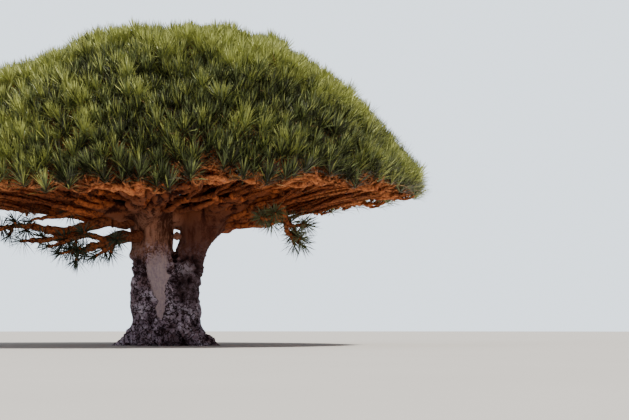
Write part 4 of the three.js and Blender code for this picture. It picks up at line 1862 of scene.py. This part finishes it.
@dataclass
class HangingBranches:
    """The low boughs below the dome, with their spurs and twigs, each of which ends in a star of leaves."""

    limbs: dict
    spurs: dict = field(default_factory=lambda: {
        "low_foliage_left_far": (
            Spur(0.20, ((-1.20, -0.22, 2.40), (-1.72, -0.28, 2.35), (-2.25, -0.30, 2.24)), 2, (0.055, 0.03)),
            Spur(0.50, ((-1.62, -0.46, 1.98), (-2.02, -0.50, 1.90), (-2.40, -0.46, 1.86)), 3, (0.055, 0.03)),
            Spur(1.00, ((-2.38, -0.34, 2.11), (-2.70, -0.34, 2.12), (-3.00, -0.33, 2.05)), 5, (0.06, 0.03)),
        ),
        "low_foliage_left_near": (
            Spur(0.45, ((-0.82, -0.60, 1.90), (-0.98, -0.66, 1.78), (-1.12, -0.66, 1.68)), 4, (0.07, 0.035)),
            Spur(1.00, ((-1.35, -0.60, 1.74), (-1.52, -0.62, 1.66), (-1.70, -0.62, 1.64)), 5, (0.07, 0.03)),
            Spur(0.75, ((-1.30, -0.62, 1.92), (-1.60, -0.66, 1.90), (-1.92, -0.62, 1.80)), 4, (0.06, 0.03)),
        ),
        "low_foliage_right": (
            Spur(1.00, ((2.16, -0.80, 1.97), (2.24, -0.78, 1.90)), 4, (0.045, 0.03)),
            Spur(0.80, ((2.18, -0.72, 2.14), (2.30, -0.66, 2.14)), 4, (0.035, 0.026)),
            Spur(0.55, ((1.90, -0.98, 2.30), (1.76, -1.04, 2.27)), 5, (0.035, 0.026)),
        ),
    })
    swells: dict = field(default_factory=lambda: {
        "low_foliage_left_far": 1.25,
        "low_foliage_left_near": 1.25,
        "low_foliage_right": 0.55,
    })
    skins: dict = field(default_factory=lambda: {
        "low_foliage_left_far": SHADED,
        "low_foliage_left_near": SHADED,
        "low_foliage_right": HALF_SHADED,
    })
    twig_radius: float = 0.028
    twig_length: float = 0.17
    tip_pull: float = 1.2
    side_pull: float = 0.5
    spread_up: float = 0.8
    hang: float = 0.35
    starred: float = 0.75
    star_sizes: tuple = (0.85, 1.1)

    def grow(self, stretches: Stretches, random: np.random.Generator) -> Sites:
        """Grows the boughs and their spurs, and a twig to each star.

        Args:
            stretches: the wood that they are added to.
            random: the source of the stars' sizes.

        Returns:
            The places of the stars.
        """
        points, axes, masses = [], [], []
        for mass, spurs in self.spurs.items():
            limb = self.limbs[mass]
            thick, thin = limb.radii
            swell = self.swells[mass]
            stretches.add_curve(limb.curve, (thick * swell, thin * swell))
            for spur in spurs:
                curve = Curve.through([limb.curve.at(spur.share), *spur.points])
                stretches.add_curve(curve, spur.radii)
                for number in range(spur.stars):
                    point, axis = self._twig(stretches, curve, number, spur.stars)
                    points.append(point)
                    axes.append(axis)
                    masses.append(mass)
        count = len(points)
        return Sites(
            points=np.array(points),
            axes=np.array(axes),
            sizes=random.uniform(*self.star_sizes, count),
            masses=np.array(masses),
            shares=np.ones(count),
            swells=np.zeros(count),
        )

    def _twig(self, stretches: Stretches, curve: Curve, number: int, count: int) -> tuple:
        """Grows one short, bowed twig, the first of them from the spur's tip and the rest behind it.

        Args:
            stretches: the wood that the twig is added to.
            curve: the spur's curve.
            number: the twig's number on its spur.
            count: how many twigs the spur has.

        Returns:
            The twig's end and the direction there.
        """
        share = 1.0 - self.starred * number / count
        root, heading = curve.at(share), curve.heading(share)
        aside = unit(np.cross(UP, heading))
        angle = number * GOLDEN_ANGLE
        out = aside * math.cos(angle) + UP * (self.spread_up * math.sin(angle) - self.hang)
        axis = unit(heading * (self.tip_pull if number == 0 else self.side_pull) + out * min(number, 1))
        end = root + axis * self.twig_length
        stretches.add(root, heading * self.twig_length, end, axis * self.twig_length, self.twig_radius)
        return end, axis


# The leaves


@dataclass(frozen=True)
class Rosette:
    """A rosette of sword-shaped leaves: how many, how long and wide, and how far they spread."""

    leaves: int
    length: float
    width: float
    inner_spread: float
    outer_spread: float
    droop: float
    stalk: float
    crowding: float = 0.75
    polar_jitter: float = 0.09
    around_jitter: float = 0.12
    least_length: float = 0.72
    bulge: float = 0.28
    bulge_from: float = 0.15
    bulge_reach: float = 0.6
    lengths: tuple = (0.86, 1.1)
    root_gap: float = 0.012
    root_width: float = 0.6
    middle_droop: float = 0.12
    upward_face: float = 0.25
    face_jitter: float = 0.25

    def blades(self, sites: Sites, members: np.ndarray, random: np.random.Generator) -> tuple:
        """Builds the leaves of some rosettes.

        Args:
            sites: the places of all rosettes.
            members: the rosettes to build.
            random: the source of the leaves' variation.

        Returns:
            The points of the leaves, five to a leaf, and each leaf's rank, from 0 in the middle to 1 outside.
        """
        rank = (np.arange(self.leaves) + 0.5) / self.leaves
        axis = sites.axes[members][:, None]
        polar, way = self._ways(axis, rank, random)
        bulge = self.bulge * np.sin(math.pi * (self.bulge_from + self.bulge_reach * rank))
        length = self.length * sites.sizes[members][:, None] * (self.least_length + bulge)
        length = (length * random.uniform(*self.lengths, length.shape))[..., None]
        below = axis * (self.stalk * rank)[None, :, None]
        root = sites.points[members][:, None] - below + way * self.root_gap
        fall = self.droop * (np.sin(polar) ** 2)[..., None] * UP
        middle = root + way * length * 0.5 - fall * length * self.middle_droop
        tip = root + way * length - fall * length
        face = axis + self.upward_face * UP + random.normal(0.0, self.face_jitter, way.shape)
        half = unit(np.cross(way, face)) * self.width / 2
        narrow = half * self.root_width
        points = np.stack((root - narrow, root + narrow, middle + half, middle - half, tip), axis=2)
        return points.reshape(-1, LEAF_POINTS, 3), np.tile(rank, len(members))

    def _ways(self, axis: np.ndarray, rank: np.ndarray, random: np.random.Generator) -> tuple:
        """Spreads the leaves round their rosette's axis by the golden angle.

        Args:
            axis: the axis of each rosette.
            rank: the rank of each leaf of a rosette.
            random: the source of the leaves' variation.

        Returns:
            The angle between each leaf and the axis, and the direction of each leaf.
        """
        aside = unit(np.cross(axis, np.array((0.31, 0.95, 0.05))))
        other = np.cross(axis, aside)
        shape = (len(axis), self.leaves)
        polar = blend(self.inner_spread, self.outer_spread, rank**self.crowding)[None]
        polar = polar + random.normal(0.0, self.polar_jitter, shape)
        around = np.arange(self.leaves) * GOLDEN_ANGLE + random.uniform(0.0, TURN, (len(axis), 1))
        around = around + random.normal(0.0, self.around_jitter, shape)
        round_axis = np.cos(around)[..., None] * aside + np.sin(around)[..., None] * other
        return polar, unit(np.cos(polar)[..., None] * axis + np.sin(polar)[..., None] * round_axis)


CROWN_ROSETTE = Rosette(
    leaves=66, length=0.36, width=0.018, inner_spread=0.05, outer_spread=1.28, droop=0.2, stalk=0.10
)
STAR_ROSETTE = Rosette(
    leaves=54, length=0.30, width=0.016, inner_spread=0.1, outer_spread=2.1, droop=0.12, stalk=0.03
)


@dataclass
class Foliage:
    """All leaves, joined into one mesh for each tint."""

    sites: Sites
    rosette: Rosette
    packed_box: list
    proud: float = 0.02
    stray: float = 0.85
    young_step: float = 0.9
    dry_from: float = 0.82
    drift: Texture = Texture((0.9, 0.9, 0.9), 2, 51)
    drift_share: float = 0.5
    drift_stray: float = 0.24
    height_share: float = 1.2
    height_within: tuple = (3.4, 5.6)
    side_share: float = 0.5
    side_within: tuple = (0.8, 4.4)
    side_middle: float = 0.3
    proud_share: float = 3.0
    blades: dict = field(default_factory=dict)

    def grow(self, random: np.random.Generator) -> None:
        """Builds the leaves and deals them tints: a rosette's young middle is a step brighter than its skirt.

        Args:
            random: the source of the leaves' variation.
        """
        points, rank = self.rosette.blades(self.sites, np.arange(len(self.sites.points)), random)
        step = self.young_step * (1.0 - 2.0 * rank) + random.normal(0.0, self.stray, len(rank))
        level = np.repeat(self._levels(random), self.rosette.leaves) + np.rint(step)
        level = np.clip(level, 0, len(LADDER) - 1)
        dry = (rank > self.dry_from) & (random.random(len(rank)) < Tint.DRY.value.share)
        self.blades = {tint: points[(level == place) & ~dry] for place, tint in enumerate(LADDER)}
        self.blades[Tint.DRY] = points[dry]

    def _levels(self, random: np.random.Generator) -> np.ndarray:
        """Deals each rosette a place on the ladder of tints, in loose drifts, with painted light and shade:
        brighter higher up, towards the flanks and on the lobes' swells.

        Args:
            random: the source of the rosettes' variation.

        Returns:
            One place for each rosette.
        """
        points = self.sites.points
        stray = random.normal(0.0, self.drift_stray, len(points))
        drift = self.drift.at(points) * self.drift_share + stray
        # Painted light: the top, the flanks and the swells get the brighter tints.
        height = self.height_share * smooth_step(*self.height_within, points[:, 2])
        aside = np.abs(points[:, 0] - self.side_middle)
        sunlit = height + self.side_share * smooth_step(*self.side_within, aside)
        proud = self.proud_share * self.sites.swells
        order = np.argsort(np.argsort(drift + sunlit + proud)) / len(points)
        limits = np.cumsum([tint.value.share for tint in LADDER])
        return np.minimum(np.searchsorted(limits / limits[-1], order), len(LADDER) - 1)

    def mesh(self, name: str, points: np.ndarray) -> bpy.types.Mesh:
        """Joins leaves into one mesh, none of which leaves the crown's reach.

        Args:
            name: the mesh's name.
            points: the points of the leaves, five to a leaf.

        Returns:
            The mesh.
        """
        low, high = np.array(self.packed_box)
        reach = self.proud * (high - low)
        points = np.clip(points, low - reach, high + reach)
        first = (np.arange(len(points)) * LEAF_POINTS)[:, None]
        blade = first + np.array((0, 1, 2, 3))
        point = first + np.array((3, 2, 4))
        return mesh_from(name, points.reshape(-1, 3), [blade, point])


# The stage


@dataclass(frozen=True)
class Light:
    """A soft light: its turn from straight down and the angle that it fills, in degrees, and its colour."""

    name: str
    turn: tuple
    strength: float
    softness: float
    colour: tuple

    def hang(self) -> None:
        """Hangs the light over the stage."""
        lamp = bpy.data.lights.new(self.name, "SUN")
        lamp.energy = self.strength
        lamp.angle = math.radians(self.softness)
        lamp.color = self.colour
        light = bpy.data.objects.new(self.name, lamp)
        light.rotation_euler = tuple(math.radians(part) for part in self.turn)
        bpy.context.scene.collection.objects.link(light)


@dataclass(frozen=True)
class Studio:
    """The floor, the lights and the camera."""

    eye: tuple = (0.0, -26.0, 0.35)
    yaw: float = 5.85
    pitch: float = 4.64
    focal_pixels: float = 1430.0
    image_width: float = 629.0
    sensor: float = 36.0
    farthest: float = 500.0
    floor_radius: float = 70.0
    floor_sides: int = 96
    floor_colours: tuple = ((0.50, 0.475, 0.445), (0.55, 0.525, 0.495))
    floor_mottle: float = 0.4
    floor_roughness: float = 0.9
    air: tuple = (0.88, 0.93, 1.0, 1.0)
    air_strength: float = 0.52
    backdrop: tuple = (0.80, 0.90, 1.0, 1.0)
    backdrop_strength: float = 2.1
    lights: tuple = (
        Light("key_light", (30.0, 0.0, 44.0), 6.8, 4.0, (1.0, 0.96, 0.88)),
        Light("fill_light", (62.0, 0.0, -60.0), 0.5, 40.0, (0.90, 0.94, 1.0)),
    )

    def build(self) -> None:
        """Builds the whole stage."""
        self._floor()
        self._air()
        for light in self.lights:
            light.hang()
        self._camera()

    def _floor(self) -> None:
        """Lays the pale floor."""
        made = bmesh.new()
        bmesh.ops.create_circle(made, cap_ends=True, segments=self.floor_sides, radius=self.floor_radius)
        mesh = bpy.data.meshes.new("floor")
        made.to_mesh(mesh)
        made.free()
        floor = bpy.data.objects.new("floor", mesh)
        bpy.context.scene.collection.objects.link(floor)
        bench = Bench("floor_paint")
        colour = bench.mix(bench.noise(bench.place(), self.floor_mottle), *self.floor_colours)
        mesh.materials.append(bench.finish({"Base Color": colour, "Roughness": self.floor_roughness}))
        floor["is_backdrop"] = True

    def _air(self) -> None:
        """Lights the scene evenly from all round, in front of a brighter backdrop."""
        world = bpy.data.worlds.new("studio_air")
        world.use_nodes = True
        nodes, links = world.node_tree.nodes, world.node_tree.links
        lit = nodes["Background"]
        lit.inputs["Color"].default_value = self.air
        lit.inputs["Strength"].default_value = self.air_strength
        seen = nodes.new("ShaderNodeBackground")
        seen.inputs["Color"].default_value = self.backdrop
        seen.inputs["Strength"].default_value = self.backdrop_strength
        chosen = nodes.new("ShaderNodeMixShader")
        links.new(nodes.new("ShaderNodeLightPath").outputs["Is Camera Ray"], chosen.inputs["Fac"])
        links.new(lit.outputs["Background"], chosen.inputs[1])
        links.new(seen.outputs["Background"], chosen.inputs[2])
        links.new(chosen.outputs["Shader"], nodes["World Output"].inputs["Surface"])
        bpy.context.scene.world = world

    def _camera(self) -> None:
        """Sets up the camera at the photograph's place."""
        view = bpy.data.cameras.new("camera")
        view.sensor_width = self.sensor
        view.lens = self.focal_pixels / self.image_width * self.sensor
        view.clip_end = self.farthest
        camera = bpy.data.objects.new("camera", view)
        camera.location = self.eye
        camera.rotation_euler = (math.radians(90.0 + self.pitch), 0.0, math.radians(-self.yaw))
        bpy.context.scene.collection.objects.link(camera)
        bpy.context.scene.camera = camera


def box_of(bounds: Sequence) -> list:
    """Gives a box as plain lists of numbers."""
    return [[float(value) for value in corner] for corner in bounds]


def place_foliage(foliage: Foliage, masses: Sequence[str]) -> None:
    """Places the dome's leaves: each tint is a piece, or several where it is large.

    Args:
        foliage: the leaves.
        masses: the nodes that they stand for.
    """
    for tint, points in foliage.blades.items():
        skin = tint.value.make()
        parts = math.ceil(len(points) * LEAF_TRIANGLES / MOST_TRIANGLES)
        for number, part in enumerate(np.array_split(points, parts)):
            name = tint.value.name if parts == 1 else f"{tint.value.name}_{number + 1}"
            place_piece(foliage.mesh(name, part), skin, masses)


def main() -> None:
    """Builds the tree and its stage, and reports each piece."""
    logging.basicConfig(level=logging.INFO, format="%(name)s %(message)s")
    packed_box = box_of(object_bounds())
    random = np.random.default_rng(SEED)
    dome = Dome()
    Studio().build()

    framework = Framework(dome)
    framework.grow()
    boughs = [limb.node for limb in framework.stout()]
    place_piece(TrunkAndBoughs(framework).build(), TrunkBark().make(), ["trunk", *boughs])

    sites = Crown(dome).sites(random)
    stretches = Stretches()
    branching = Branching(sites, stretches)
    masses = sorted(set(sites.masses))
    for mass in masses:
        branching.grow(framework.limbs[mass], sites.of(mass))
    for mesh, bark in CrownWood(dome, stretches).pieces():
        place_piece(mesh, bark.value.make(), masses)

    hanging = HangingBranches(framework.limbs)
    low_wood = Stretches()
    stars = hanging.grow(low_wood, random)
    low_boughs = [framework.limbs[mass].node for mass in hanging.spurs]
    low_mesh = low_wood.mesh("hanging_boughs", HANGING_TUBE)
    place_piece(low_mesh, Bark.HANGING.value.make(), [*low_boughs, *hanging.spurs])

    foliage = Foliage(sites, CROWN_ROSETTE, packed_box)
    foliage.grow(random)
    place_foliage(foliage, masses)
    for mass, skin in hanging.skins.items():
        points, _ = STAR_ROSETTE.blades(stars, stars.of(mass), random)
        place_piece(foliage.mesh(f"{mass}_leaves", points), skin.make(), [mass])


if __name__ == "__main__":
    main()
